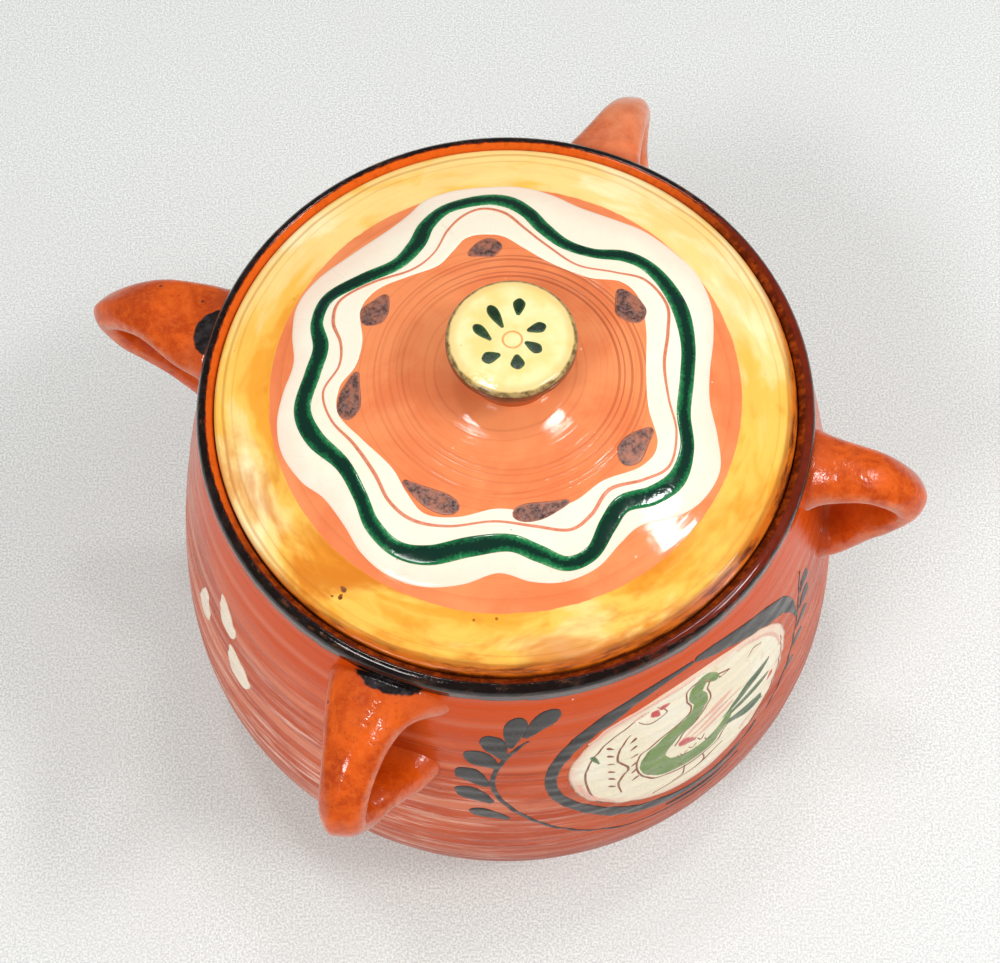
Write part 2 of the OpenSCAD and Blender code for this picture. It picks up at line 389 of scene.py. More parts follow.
pot_clay, g, shader, place = new_finish("pot_clay", IOR=1.5, Specular_IOR_Level=0.1, Coat_Roughness=0.05)
x, y, z = g.node("SeparateXYZ", {0: place}).outputs[:3]
down = g.mark("from_rim")
rings = g.use(wheel_lines, {"Distance": z, "Spacing": 2.1, "Place": place})
cloud = g.noise(place, 38, 4.0, 0.6, 0.4)
streaked = g.noise(g.scaled(place, 0.3, 0.3, 3.4), 10, 5.0, 0.7)
clay = g.mix(g.smooth(cloud, 0.35, 0.68), shade(212, 90, 40), shade(190, 70, 26))
clay = g.mix(g.smooth(z, 150, 200), clay, shade(214, 78, 12))
# Darker towards the foot: painted shade under the belly
clay = g.mix(g.smooth(z, 110, 40, 0.0, 0.85), clay, shade(160, 52, 12))
clay = g.mix(g.smooth(g.mark("near_handle"), 0.2, 0.9), clay, shade(210, 78, 12))
# Painted reflection of the pale floor in the glaze: pale streaks that grow down the belly and towards the
# left
streaky_floor_sheen = g.times(g.smooth(streaked, 0.5, 0.66), g.smooth(z, 190, 110))
leftward = g.toward(x, y, -0.9, -0.45, BELLY_R)
floor_sheen = g.times(streaky_floor_sheen, g.smooth(leftward, 0.1, 0.9, 0.14, 1.0))
clay = g.mix(floor_sheen, clay, shade(242, 184, 162))
grooves = g.times(g.smooth(rings["Lines"], 0.54, 0.7), g.smooth(z, 200, 110, 0.2, 0.7))
clay = g.mix(grooves, clay, shade(124, 42, 22))
# Pale wheel bands, faint on the right; on the left they carry a painted sheen
pale = g.times(g.smooth(rings["Bands"], 0.5, 0.66), g.smooth(leftward, -0.3, 0.9, 0.06, 0.6))
clay = g.mix(pale, clay, shade(234, 146, 112))
grits = scattered(g, 0.5, 9.0, 0.35, place)
clay = g.mix(g.times(grits, 0.7), clay, shade(240, 225, 210))
pinholes = scattered(g, 0.55, 7.0, 0.3, g.scaled(place, 1, 1.1, 0.9))
clay = g.mix(g.times(pinholes, 0.6), clay, shade(80, 36, 26))
# Unglazed foot, and the inside with its thick amber glaze
foot = ragged(g, g.times(z, -1.0), -2.5, 1.0, 1.2, 4.0, place)
clay = g.mix(foot, clay, g.mix(g.noise(place, 14), shade(196, 120, 88), shade(170, 98, 70)))
inside = g.smooth(down, -6.0, -7.5)
pooled = g.smooth(g.noise(place, 26, 4.0, 0.6, 0.5), 0.35, 0.7)
amber = g.mix(pooled, shade(198, 92, 34), shade(150, 60, 22))
amber = g.mix(g.times(g.smooth(rings["Lines"], 0.5, 0.7), 0.35), amber, shade(96, 38, 18))
amber = g.mix(g.smooth(z, 40, 8, 0.0, 0.5), amber, shade(112, 46, 20))
clay = g.mix(inside, clay, amber)
# The rim: an orange bevel inside, burnt brown at the front and the right, then black slip
# that thins to red-brown on the right and shines more than the wall does
bevel = g.times(g.smooth(down, -9.2, -8.2), g.smooth(down, 1.6, 0.4))
side_streaks = g.noise(g.scaled(place, 1.0, 1.0, 0.3), 3.2, 4.0, 0.65)
bevel_clay = g.mix(g.smooth(side_streaks, 0.45, 0.7, 0.0, 0.5), shade(224, 96, 24), shade(176, 66, 14))
front = g.toward(x, y, -0.1, -0.99, RIM_R)
right = g.toward(x, y, 0.97, -0.2, RIM_R)
burnt = g.times(g.smooth(g.math("MAXIMUM", front, right), 0.35, 0.7),
                g.smooth(side_streaks, 0.3, 0.6, 0.6, 1.0))
bevel_clay = g.mix(burnt, bevel_clay, shade(92, 30, 8))
clay = g.mix(bevel, clay, bevel_clay)
start = g.smooth(right, 0.3, 0.95, -0.5, 2.4)
thin = ragged(g, down, -0.9, 0.8, 0.7, 3.0, place)
black_in = ragged(g, down, start, 0.7, 1.0, 3.5, place)
black_out = ragged(g, down, SLIP_DEPTH, 0.8, 1.3, 7.0, place)
worn = g.times(g.smooth(g.noise(place, 5, 4.0, 0.7), 0.50, 0.62), g.smooth(right, 0.3, 0.9, 0.0, 0.85))
not_past = g.minus(1.0, black_out)
thin = g.times(thin, not_past)
black = g.times(g.times(black_in, not_past), g.minus(1.0, worn))
clay = g.mix(thin, clay, g.mix(g.noise(place, 4, 3.0), shade(128, 38, 10), shade(74, 20, 8)))
slip = g.mix(g.smooth(g.noise(place, 9, 4.0, 0.65), 0.46, 0.7), shade(20, 10, 7), shade(46, 32, 28))
brown = g.smooth(g.noise(g.scaled(place, 0.5, 0.5, 2), 3, 4.0, 0.7), 0.56, 0.7, 0.0, 0.6)
slip = g.mix(brown, slip, shade(104, 62, 36))
clay = g.mix(black, clay, slip)
peel = dimpled(g, 1.7, place)
relief = g.plus(g.times(rings["Lines"], 0.55), g.times(peel, 0.35))
relief = g.plus(relief, g.times(g.noise(g.scaled(place, 0.5, 0.5, 2.0), 3, 3.0), 0.3))
relief = g.plus(relief, g.times(black, g.smooth(g.noise(place, 4, 2.0), 0.3, 0.7, 0.4, 1.3)))
relief = g.minus(relief, g.times(pinholes, 0.5))
gloss = g.smooth(z, 190, 110, 0.12, 0.3)
gloss = g.plus(gloss, g.smooth(g.noise(g.scaled(place, 0.4, 0.4, 2.4), 7, 3.0), 0.35, 0.75, -0.05, 0.14))
gloss = g.plus(gloss, g.times(foot, 0.4))
gloss = g.minus(gloss, g.times(black, 0.06))
coat_with(g, shader, clay, gloss, relief, 0.22)
shine = g.times(g.math("MAXIMUM", black, thin), 0.7)
g.tree.links.new(shine, shader.inputs["Coat Weight"])
settle(pot, pot_clay, "pot", "pot_clay", "pot_body")

# ---------------------------------------------------------------------------------------
# Strap handles
# Four straps pulled from wet clay. Each is pressed on below the rim, turned over a finger
# and smoothed on to the belly, with soft fillets where it meets the wall. Thick clear glaze.

STRAP_T = 12.0
ROUNDNESS = 0.92  # 1 gives an oval section, less gives a squarer one
TIP_TRIM = 0.9  # how much of its crest a strap gives up at the tip, to keep its full reach
HANDLE_REACH, ROOT_DROP, LOW_DROP, EMBED = 158.0, 17.5, 72.0, 4.2
FILLET, END_WIDENING, END_THICKENING = 6.0, 0.16, 0.55


def smooth_line(points, samples, closed=False):
    """The Catmull-Rom curve that passes through points, cut into samples."""
    p = np.asarray(points, float)
    n = len(p)
    u = np.linspace(0, n if closed else n - 1, samples, endpoint=not closed)
    i = np.minimum(u.astype(int), n - 1 if closed else n - 2)
    t = (u - i)[:, None]
    a, b, c, d = (p[(i + k) % n] if closed else p[np.clip(i + k, 0, n - 1)] for k in (-1, 0, 1, 2))
    return 0.5 * (2 * b + (c - a) * t + (2 * a - 5 * b + 4 * c - d) * t**2
                  + (3 * b - a - 3 * c + d) * t**3)


def strap(azimuth, reach, drop, lean, width, ridge, rings=170, sides=60):
    """A flattened section carried along a hooked line, out from the rim, over a tip and
    back to the belly. lean and width hold values at the root, a quarter of the way out,
    before the tip, at the tip and at the lower end. Both ends swell into the wall. ridge
    raises a soft crest on the back, that crosses from one side to the other."""
    top_z, low_z = POT_H - ROOT_DROP, POT_H - LOW_DROP - drop
    tip_r = HANDLE_REACH + reach - STRAP_T / 2 - TIP_TRIM * ridge[0]
    r0, r1 = wall_radius(top_z) - EMBED, wall_radius(low_z) - EMBED
    turned_lean = 0.8 * lean[3] + 0.2 * lean[4], 0.4 * lean[3] + 0.6 * lean[4]
    line = smooth_line([
        [r0, lean[0], top_z, width[0]],
        [r0 + 0.27 * (tip_r - r0), lean[1], top_z + 1, width[1]],
        [r0 + 0.66 * (tip_r - r0), lean[2], top_z - 0.5, width[2]],
        [tip_r, lean[3], top_z - 12, width[3]],
        [tip_r - 4, turned_lean[0], top_z - 26, width[3]],
        [(tip_r + r1) / 2 + 3, turned_lean[1], (low_z + top_z) / 2 - 9, 0.6 * width[3] + 0.4 * width[4]],
        [r1 + 9, lean[4], low_z + 4, 0.92 * width[4]],
        [r1, lean[4], low_z, width[4]]], rings)
    line, half = line[:, :3], line[:, 3:] / 2
    s = np.linspace(0, 1, rings)[:, None]
    ahead = np.gradient(line, axis=0)
    ahead[:, 1] = 0
    ahead /= np.linalg.norm(ahead, axis=1)[:, None]
    out = np.stack([-ahead[:, 2], 0 * ahead[:, 0], ahead[:, 0]], -1)
    clear = np.clip(line[:, :1] - wall_radius(line[:, 2:]), 0, None)
    swell = np.exp(-clear / FILLET)
    half = half * (1 + END_WIDENING * swell)
    thick = STRAP_T / 2 * (1.03 + END_THICKENING * swell)
    angle = np.linspace(0, 2 * np.pi, sides, endpoint=False)[None, :]
    c, w = np.cos(angle), np.sin(angle)
    across, upward = np.sign(c) * np.abs(c) ** ROUNDNESS, np.sign(w) * np.abs(w) ** ROUNDNESS
    crest = np.exp(-((across - ridge[1] + ridge[2] * s) / 0.4) ** 2) * np.clip(np.sin(angle), 0, 1)
    lumps = 0.16 * np.sin(7 * s * np.pi + 2 * angle + azimuth) + 0.07 * np.sin(15 * s * np.pi - angle)
    height = thick * upward + ridge[0] * crest * np.sin(np.pi * s) ** 0.5 + lumps
    sideways = half * across + 0.3 * lumps
    points = line[:, None, :] + out[:, None, :] * height[..., None]
    points = points + np.array([0, 1, 0]) * sideways[..., None]
    c, w = np.cos(np.radians(azimuth)), np.sin(np.radians(azimuth))
    turned_points = np.stack([points[..., 0] * c - points[..., 1] * w,
                              points[..., 0] * w + points[..., 1] * c, points[..., 2]], -1)
    ends = [np.broadcast_to(turned_points[k].mean(0), turned_points[k].shape) for k in (0, -1)]
    return np.concatenate([ends[0][None], turned_points, ends[1][None]])


handle_clay, g, shader, place = new_finish("handle_clay", IOR=1.52)
y = g.node("SeparateXYZ", {0: place}).outputs[1]
pool = g.noise(place, 16, 4.0, 0.6, 0.6)
clay = g.mix(g.smooth(pool, 0.32, 0.62), shade(222, 90, 16), shade(182, 62, 6))
clay = g.mix(g.smooth(g.noise(place, 2.4, 4.0, 0.7), 0.4, 0.68, 0.0, 0.4), clay, shade(232, 110, 34))
clay = g.mix(g.smooth(g.noise(place, 30, 3.0), 0.5, 0.7, 0.0, 0.35), clay, shade(226, 112, 60))
# Pale, rougher sides of each strap: wear, and a painted sheen of the pale floor at grazing angles
edge_wear_and_sheen = g.smooth(g.mark("rounding"), 0.78, 0.99)
edge_wear_and_sheen = g.times(edge_wear_and_sheen, g.smooth(g.noise(place, 8, 3.0), 0.4, 0.62, 0.0, 0.4))
clay = g.mix(edge_wear_and_sheen, clay, shade(232, 146, 104))
pits = scattered(g, 0.9, 8.0, 0.4, place)
clay = g.mix(g.times(pits, 0.8), clay, shade(70, 28, 18))
freckles = g.smooth(g.noise(place, 1.1, 2.0, 0.6), 0.6, 0.72, 0.0, 0.5)
clay = g.mix(freckles, clay, shade(140, 46, 12))
grime = g.smooth(g.noise(place, 5, 5.0, 0.75), 0.56, 0.74, 0.0, 0.5)
clay = g.mix(grime, clay, shade(150, 52, 14))
# Painted shade on the inner side of each loop, away from its ends
clay = g.mix(g.smooth(g.mark("hollow"), 0.3, 0.9, 0.0, 0.4), clay, shade(196, 72, 8))
thin_glaze = g.times(g.smooth(y, 60, 130), g.smooth(g.noise(place, 14, 4.0, 0.6), 0.3, 0.6, 0.25, 0.6))
clay = g.mix(thin_glaze, clay, shade(240, 158, 116))
near_wall = g.smooth(g.mark("from_wall"), 9.0, 1.0, 0.0, 0.45)
clay = g.mix(near_wall, clay, shade(206, 80, 30))
slip_zone = ragged(g, g.times(g.mark("from_slip"), -1.0), 0.0, 0.8, 1.4, 4.0, place)
slip = g.mix(g.smooth(g.noise(place, 5, 4.0, 0.65), 0.42, 0.7), shade(24, 18, 18), shade(62, 54, 56))
clay = g.mix(slip_zone, clay, slip)
peel = dimpled(g, 1.9, place)
relief = g.plus(g.times(peel, 1.3), g.times(g.noise(place, 6, 3.0), 1.2))
relief = g.minus(relief, g.times(pits, 0.8))
relief = g.plus(relief, g.times(slip_zone, 0.3))
relief = g.plus(relief, g.times(g.noise(place, 1.3, 2.0), 0.5))
gloss = g.smooth(g.noise(place, 9, 3.0), 0.3, 0.7, 0.12, 0.2)
gloss = g.plus(gloss, g.times(edge_wear_and_sheen, 0.2))
coat_with(g, shader, clay, gloss, relief, 0.17)

HANDLES = {
    "handle_front": dict(azimuth=-112, reach=1.5, drop=-12, lean=(0.5, -5, -4, -1.8, 5.5),
                         width=(39, 28.5, 20, 16.5, 25), ridge=(1.3, 0.7, 2.2)),
    "handle_right": dict(azimuth=-12, reach=-3.5, drop=-6, lean=(-2.5, -1.5, -1.2, -0.5, -1.5),
                         width=(28, 24, 20, 18, 24), ridge=(0.8, 0.2, 0.4)),
    "handle_back": dict(azimuth=69, reach=-3, drop=-2, lean=(0, 0.5, -0.8, -1.2, -7.5),
                        width=(31, 26, 19, 15, 20), ridge=(0.6, -0.3, 0.3)),
    "handle_left": dict(azimuth=162, reach=7, drop=-8, lean=(-1, -2.2, -5, -4.6, -6.5),
                        width=(31, 34, 24, 13.5, 22), ridge=(1.0, 0.5, 0.9)),
}
SLIP_REACH = {"handle_front": (6.0, 12, -1), "handle_right": (1.0, 9, 2), "handle_back": (4.0, 10, 0),
              "handle_left": (10.0, 10, 2)}
for node, shape in HANDLES.items():
    form = strap(**shape)
    a = np.radians(shape["azimuth"])
    outward = form[..., 0] * np.cos(a) + form[..., 1] * np.sin(a)
    sideways = form[..., 1] * np.cos(a) - form[..., 0] * np.sin(a)
    deep, wide, shift = SLIP_REACH[node]
    spot = np.hypot((outward - RIM_R + 1.5) / deep, (sideways - shift) / wide)
    from_slip = (spot - 1) * deep + 40 * (form[..., 2] < 185)
    angle = np.linspace(0, 2 * np.pi, form.shape[1], endpoint=False)[None, :]
    # How near a point lies to a strap's side, where the finish paints wear and sheen
    rounding = np.abs(np.cos(angle)) + 0 * form[..., 0]
    s = np.linspace(0, 1, len(form))[:, None]
    # Painted shade on the strap's inner side, fading towards both ends
    hollow = np.clip(-np.sin(angle), 0, 1) * np.sin(np.pi * np.clip(s, 0, 1)) ** 0.5
    from_wall = np.hypot(form[..., 0], form[..., 1]) - wall_radius(form[..., 2])
    piece = fired(node + "_strap", [form], from_slip=[from_slip], rounding=[rounding], hollow=[hollow],
                  from_wall=[from_wall])
    settle(piece, handle_clay, "pot", "handle_clay", node)

# ---------------------------------------------------------------------------------------
# Painted panel on the belly
# An oval of cream slip laid on the wall, with a thick black brushed ring round it. Slips
# are liquid clay, so each stroke stands a little proud and its glaze runs over the edge.

PANEL_AZIMUTH, PANEL_Z = -58.5, 141.0
MM_PER_DEGREE = 2.2


def on_wall(across, up, lift):
    """The point on the belly that is across mm round the wall and up mm above the panel's
    middle. lift stands it off the wall, along the wall's normal."""
    azimuth = np.radians(PANEL_AZIMUTH + across / MM_PER_DEGREE)
    z = PANEL_Z + up
    r = wall_radius(z) + throwing_marks(azimuth, z)
    slope = wall_radius(z + 0.5) - wall_radius(z - 0.5)
    tilt = lift / np.sqrt(1 + slope**2)
    return np.stack([(r + tilt) * np.cos(azimuth), (r + tilt) * np.sin(azimuth), z - slope * tilt], -1)


def brush_stroke(lay, points, thick=0.16, base=0.0, sink=0.4, stations=None, closed=False):
    """One raised stroke. Its middle line runs smoothly through points of (across, up,
    width), ends are rounded off, and each section is a low lens sunk into the clay.
    lay(across, up, lift) puts it on its surface. Returns the form and its marks."""
    points = np.asarray(points, float)
    length = np.hypot(*np.diff(points[:, :2], axis=0).T).sum()
    stations = stations or int(np.clip(length / 0.8, 16, 600))
    line = smooth_line(points, stations, closed)
    flat = np.vstack([line[-1:], line, line[:1]]) if closed else line
    ahead = np.gradient(flat[:, :2], axis=0)
    ahead = ahead[1:-1] if closed else ahead
    ahead /= np.maximum(np.hypot(*ahead.T)[:, None], 1e-9)
    step = np.hypot(*np.diff(line[:, :2], axis=0).T)
    along = np.append(0, np.cumsum(step))[:, None]
    half = np.maximum(line[:, 2:], 0.05) / 2
    if not closed:
        to_end = np.minimum(along, along[-1] - along)
        half = half * np.sqrt(np.clip(1 - (1 - np.clip(to_end / half, 0, 1)) ** 2, 0.0004, 1))
    angle = np.linspace(0, 2 * np.pi, 14, endpoint=False)[None, :]
    c, s = np.cos(angle), np.sin(angle)
    sideways = half * c
    body = np.clip(half / 0.4, 0.15, 1)
    lift = np.where(s >= 0, base + thick * body * np.abs(s) ** 0.6, -sink * np.abs(s))
    across = line[:, :1] - ahead[:, 1:] * sideways
    up = line[:, 1:2] + ahead[:, :1] * sideways
    form = lay(across, up, lift + 0 * across)
    edge = half * (1 - np.abs(c))
    return form, edge, along + 0 * edge, c + 0 * edge


def leaf(base, tip, width, bend=0.0):
    """Stroke points of one pressed brush mark: narrow at base, full past the middle and
    blunt at tip. bend moves its middle sideways, in mm."""
    base, tip = np.array(base, float), np.array(tip, float)
    across = np.array([-(tip - base)[1], (tip - base)[0]]) / np.hypot(*(tip - base))
    rows = [(0.0, 0.22), (0.22, 0.55), (0.5, 0.92), (0.74, 1.0), (0.92, 0.74), (1.0, 0.5)]
    return [(*(base + (tip - base) * t + across * bend * np.sin(np.pi * t)), width * w)
            for t, w in rows]


def slip_patch(lay, outline, thick=0.2, sink=0.5, around=180, rings=30):
    """A poured patch of slip. Its edge runs smoothly through outline, and rows shrink from
    it to its middle, on top with a rounded edge and again underneath, inside the clay."""
    edge_line = smooth_line(outline, around, True)
    middle = edge_line.mean(0)
    share = np.append(np.linspace(0, 1, rings) ** 0.8, np.linspace(1, 0, 16)[1:])[:, None]
    top = (np.arange(len(share)) < rings)[:, None]
    across = middle[0] + (edge_line[:, 0] - middle[0])[None, :] * share
    up = middle[1] + (edge_line[:, 1] - middle[1])[None, :] * share
    size = np.hypot(*(edge_line - middle).T)[None, :]
    edge = size * (1 - share)
    lift = np.where(top, thick * np.clip(edge / 0.5, 0, 1) ** 0.5, -sink * np.clip(edge / 0.8, 0, 1))
    return lay(across, up, lift), edge


def painted(name, strokes, material, body, slot):
    """One piece from a list of strokes, with their marks for the finish."""
    forms, edges, alongs, acrosses = zip(*strokes)
    piece = fired(name, forms, edge=edges, along=alongs, across=acrosses)
    return settle(piece, material, body, slot)


# Streaks that the brush hairs leave along a stroke, and the grain of a dry brush
g, given, wanted = effect("brush_hairs", {"Across": 0.0, "Along": 0.0, "Place": None}, ["Hairs", "Dry"])
lane = g.node("CombineXYZ", {0: g.times(given["Across"], 4.0), 1: g.times(given["Along"], 0.09),
                             2: g.noise(given["Place"], 60, 1.0)}).outputs[0]
hairs = g.node("TexNoise", {"Vector": lane, "Scale": 1.6, "Detail": 4.0, "Roughness": 0.65}).outputs[0]
grain = g.noise(given["Place"], 0.9, 2.0)
g.tree.links.new(hairs, wanted["Hairs"])
g.tree.links.new(g.plus(g.times(hairs, 0.7), g.times(grain, 0.3)), wanted["Dry"])
brush_hairs = g.tree


def brushed_finish(name, full, thin, dry, bare=0.56, relief_mm=0.06, rough=0.24):
    """Slip from a loaded brush: full colour in the core, thin colour by the edges, and dry
    colour where the hairs skipped. bare sets how easily they skip."""
    material, g, shader, place = new_finish(name, IOR=1.5)
    hairs = g.use(brush_hairs, {"Across": g.mark("across"), "Along": g.mark("along"), "Place": place})
    near_edge = g.plus(g.mark("edge"), g.times(g.minus(g.noise(place, 1.6, 3.0), 0.5), 1.6))
    colour = g.mix(g.smooth(near_edge, 0.9, 0.1), full, thin)
    colour = g.mix(g.smooth(hairs["Dry"], bare, bare + 0.12), colour, dry)
    colour = g.mix(g.smooth(g.noise(place, 7, 3.0), 0.4, 0.7, 0.0, 0.4), colour, thin)
    height = g.plus(hairs["Hairs"], dimpled(g, 1.7, place))
    gloss = g.smooth(g.noise(place, 6, 3.0), 0.3, 0.7, rough - 0.06, rough + 0.12)
    coat_with(g, shader, colour, gloss, height, relief_mm)
    return material


black_slip = brushed_finish("black_slip", shade(30, 26, 27), shade(46, 38, 38), shade(92, 56, 44), 0.55)

cream_slip, g, shader, place = new_finish("cream_slip", IOR=1.5)
near_edge = g.plus(g.mark("edge"), g.times(g.minus(g.noise(place, 9, 4.0), 0.5), 9.0))
cloud = g.smooth(g.noise(place, 22, 4.0, 0.6, 0.4), 0.4, 0.7)
cream = g.mix(cloud, shade(246, 232, 200), shade(250, 240, 216))
cream = g.mix(g.smooth(near_edge, 6.0, 0.5, 0.0, 0.75), cream, shade(240, 196, 172))
cream = g.mix(g.smooth(g.mark("edge"), 0.5, 0.0, 0.0, 0.8), cream, shade(222, 150, 110))
stain = g.smooth(g.noise(g.scaled(place, 1.6, 1.6, 0.6), 12, 4.0, 0.6), 0.6, 0.74, 0.0, 0.5)
cream = g.mix(stain, cream, shade(232, 196, 124))
crazing = g.node("TexVoronoi", {"Vector": g.scaled(place, 0.16, 0.16, 0.16), "Scale": 1.0},
                 feature="DISTANCE_TO_EDGE").outputs["Distance"]
cream = g.mix(g.smooth(crazing, 0.018, 0.0, 0.0, 0.18), cream, shade(170, 120, 90))
grits = scattered(g, 0.45, 7.0, 0.4, place)
cream = g.mix(g.times(grits, 0.6), cream, shade(120, 70, 50))
peel = dimpled(g, 2.0, place)
coat_with(g, shader, cream, g.smooth(g.noise(place, 9), 0.3, 0.7, 0.16, 0.3), peel, 0.09)

panel_edge = [(-50, 4), (-45, 19), (-34, 31), (-17, 38.5), (1, 41), (19, 39), (36, 32), (47, 22),
              (52, 9), (49.5, -7), (42, -21), (28, -33), (14, -40), (-1, -42.5), (-17, -40), (-32, -31),
              (-45, -17)]
form, edge = slip_patch(on_wall, panel_edge)
panel = fired("panel_cream_slip", [form], edge=[edge])
settle(panel, cream_slip, "pot", "cream_slip")

ring_left = [(4, 49.5, 2.4), (-10, 48.5, 4.0), (-23, 44.5, 6.0), (-34, 38, 8.0), (-46, 27.5, 6.6),
             (-54, 14, 5.4), (-56.5, 1, 4.6), (-54, -12, 4.8), (-47.5, -23, 5.4), (-38.5, -33.5, 6.4),
             (-28, -42.5, 7.2), (-16.5, -48, 6.4), (-3, -51.5, 5.6), (10, -51, 4.4), (21, -46.5, 2.8),
             (32, -39, 1.4)]
ring_right = [(4, 50, 3.6), (14, 47.5, 7.0), (27.5, 42, 9.4), (40.5, 35, 10.8), (51, 27.5, 9.6),
              (57, 19, 6.0), (60, 10, 3.0), (61, 3, 1.6)]
ring_low = [(-12, -57, 1.0), (0, -58, 2.2), (12, -57, 2.0), (22, -53, 0.9)]
painted("panel_black_ring", [brush_stroke(on_wall, p, 0.2) for p in (ring_left, ring_right, ring_low)],
        black_slip, "pot", "rim_black")

# ---------------------------------------------------------------------------------------
# Leaf sprays beside the panel
# Black slip leaves pressed with a round brush along a thin curved stem: seven on the left,
# and a spray of five smaller ones squeezed in beside the handle on the right.

left_stem = [(-64, 34, 1.0), (-70, 27, 1.8), (-75.5, 16, 2.0), (-77.8, 5, 2.0), (-76.5, -6, 2.0),
             (-72, -17, 2.0), (-64.5, -29, 1.8), (-54, -42, 1.5), (-41, -53, 1.2), (-27, -60, 1.0),
             (-12, -62.5, 0.9), (4, -63, 0.8), (18, -61, 0.6)]
right_stem = [(68, 28, 0.8), (65, 15, 1.2), (62, 2, 1.3), (57, -12, 1.3), (50, -26, 1.1), (38, -40, 0.9)]
leaf_marks = [
    leaf((-66, 36), (-52.5, 53.5), 9.0, 0.6), leaf((-71, 29), (-67, 50.5), 8.8, 0.8),
    leaf((-73.5, 21), (-80.5, 38), 9.6, -0.6), leaf((-75, 14), (-88, 26), 10.0, -0.5),
    leaf((-79, 0), (-91, 13), 10.0, -0.5), leaf((-77.5, -14), (-91.5, -2), 9.6, -0.6),
    leaf((-71.5, -29), (-86.5, -20.5), 8.0, -0.5),
    leaf((66, 13), (74, 20), 6.5, 0.4), leaf((63.5, 3), (73, 9), 6.5, 0.4),
    leaf((60, -7), (70, -3), 6.2, 0.4), leaf((56, -16), (64.5, -14), 5.4, 0.4),
    leaf((50, -27), (57, -25), 4.2, 0.3),
]
painted("leaf_sprays", [brush_stroke(on_wall, p, 0.17) for p in [left_stem, right_stem] + leaf_marks],
        black_slip, "pot", "rim_black")

# ---------------------------------------------------------------------------------------
# Bird in the panel
# A plain folk bird of the builder's own, painted over the cream slip: green body, neck and
# tail leaves, pink wing strokes, a red cheek, and brown outlines from a fine brush.

PANEL_THICK = 0.2


def panel_strokes(marks, thick=0.1):
    """Strokes on top of the panel's slip."""
    return [brush_stroke(on_wall, m, thick, PANEL_THICK) for m in marks]


bird_green = brushed_finish("bird_green", shade(112, 140, 66), shade(140, 160, 92), shade(58, 84, 34), 0.53)
leaf_green = brushed_finish("leaf_green", shade(62, 88, 52), shade(110, 136, 78), shade(40, 58, 40), 0.55)
bird_red = brushed_finish("bird_red", shade(196, 62, 60), shade(222, 120, 112), shade(168, 40, 44), 0.6)
bird_pink = brushed_finish("bird_pink", shade(236, 174, 152), shade(240, 196, 172),
                           shade(214, 136, 118), 0.58)
brown_line = brushed_finish("brown_line", shade(122, 58, 34), shade(150, 84, 54), shade(96, 40, 24), 0.62)

painted("bird_body", panel_strokes([
    [(14, 27, 3.0), (8, 32.5, 6.4), (3, 27, 6.4), (5, 19, 6.8), (0, 11, 7.6), (-10, 5, 9.0),
     (-17, -4, 10.5), (-14, -14, 11.0), (-4, -19, 10.0), (6, -18, 8.5), (14, -12, 5.5), (19, -6, 2.0)],
]), bird_green, "pot", "green_slip")
painted("bird_tail", panel_strokes([
    leaf((14, -7), (41, 4), 5.4, 1.6), leaf((15, -9), (40, -7), 4.6, 0.8),
    leaf((13, -11), (35, -19), 6.6, -1.6), leaf((-38, 8), (-41, 15), 2.2),
]), leaf_green, "pot", "green_slip")
painted("bird_wing_and_blush", panel_strokes([
    leaf((-6, -2), (20, 10), 3.0, 1.5), leaf((-5, -5), (24, 6), 2.6, 1.0),
    leaf((-5, -8), (20, 1), 2.6, 0.4),
    [(-42, 24, 1.6), (-30, 33, 2.4), (-14, 37, 2.0), (4, 38.5, 1.2)],
    [(-46.5, -4, 2.4), (-43, -16, 2.8), (-33, -28, 1.6)],
    [(24, 34, 1.2), (38, 26, 2.0), (46, 14, 1.8), (48, 2, 1.0)],
    leaf((-24, 30), (-18, 33), 2.6), leaf((30, -24), (22, -30), 2.2),
]), bird_pink, "pot", "cream_slip")
painted("bird_red_marks", panel_strokes([
    leaf((2, -8), (-6, -2), 5.2), leaf((10, 30), (7.5, 31.5), 1.6), leaf((-13, 27), (-16, 31), 4.2),
    leaf((-8, 31), (-13, 31), 3.4), leaf((38, -12), (42, -9), 2.2),
], 0.12), bird_red, "pot", "brown_slip")


def feather_row(count, step, sag, bend, ticks):
    """A row of small curved strokes that hangs in a shallow arc. ticks are the (across, up,
    width) points of the first one."""
    return [[(a + step * k, u - sag * np.sin(bend * k), w) for a, u, w in ticks] for k in range(count)]


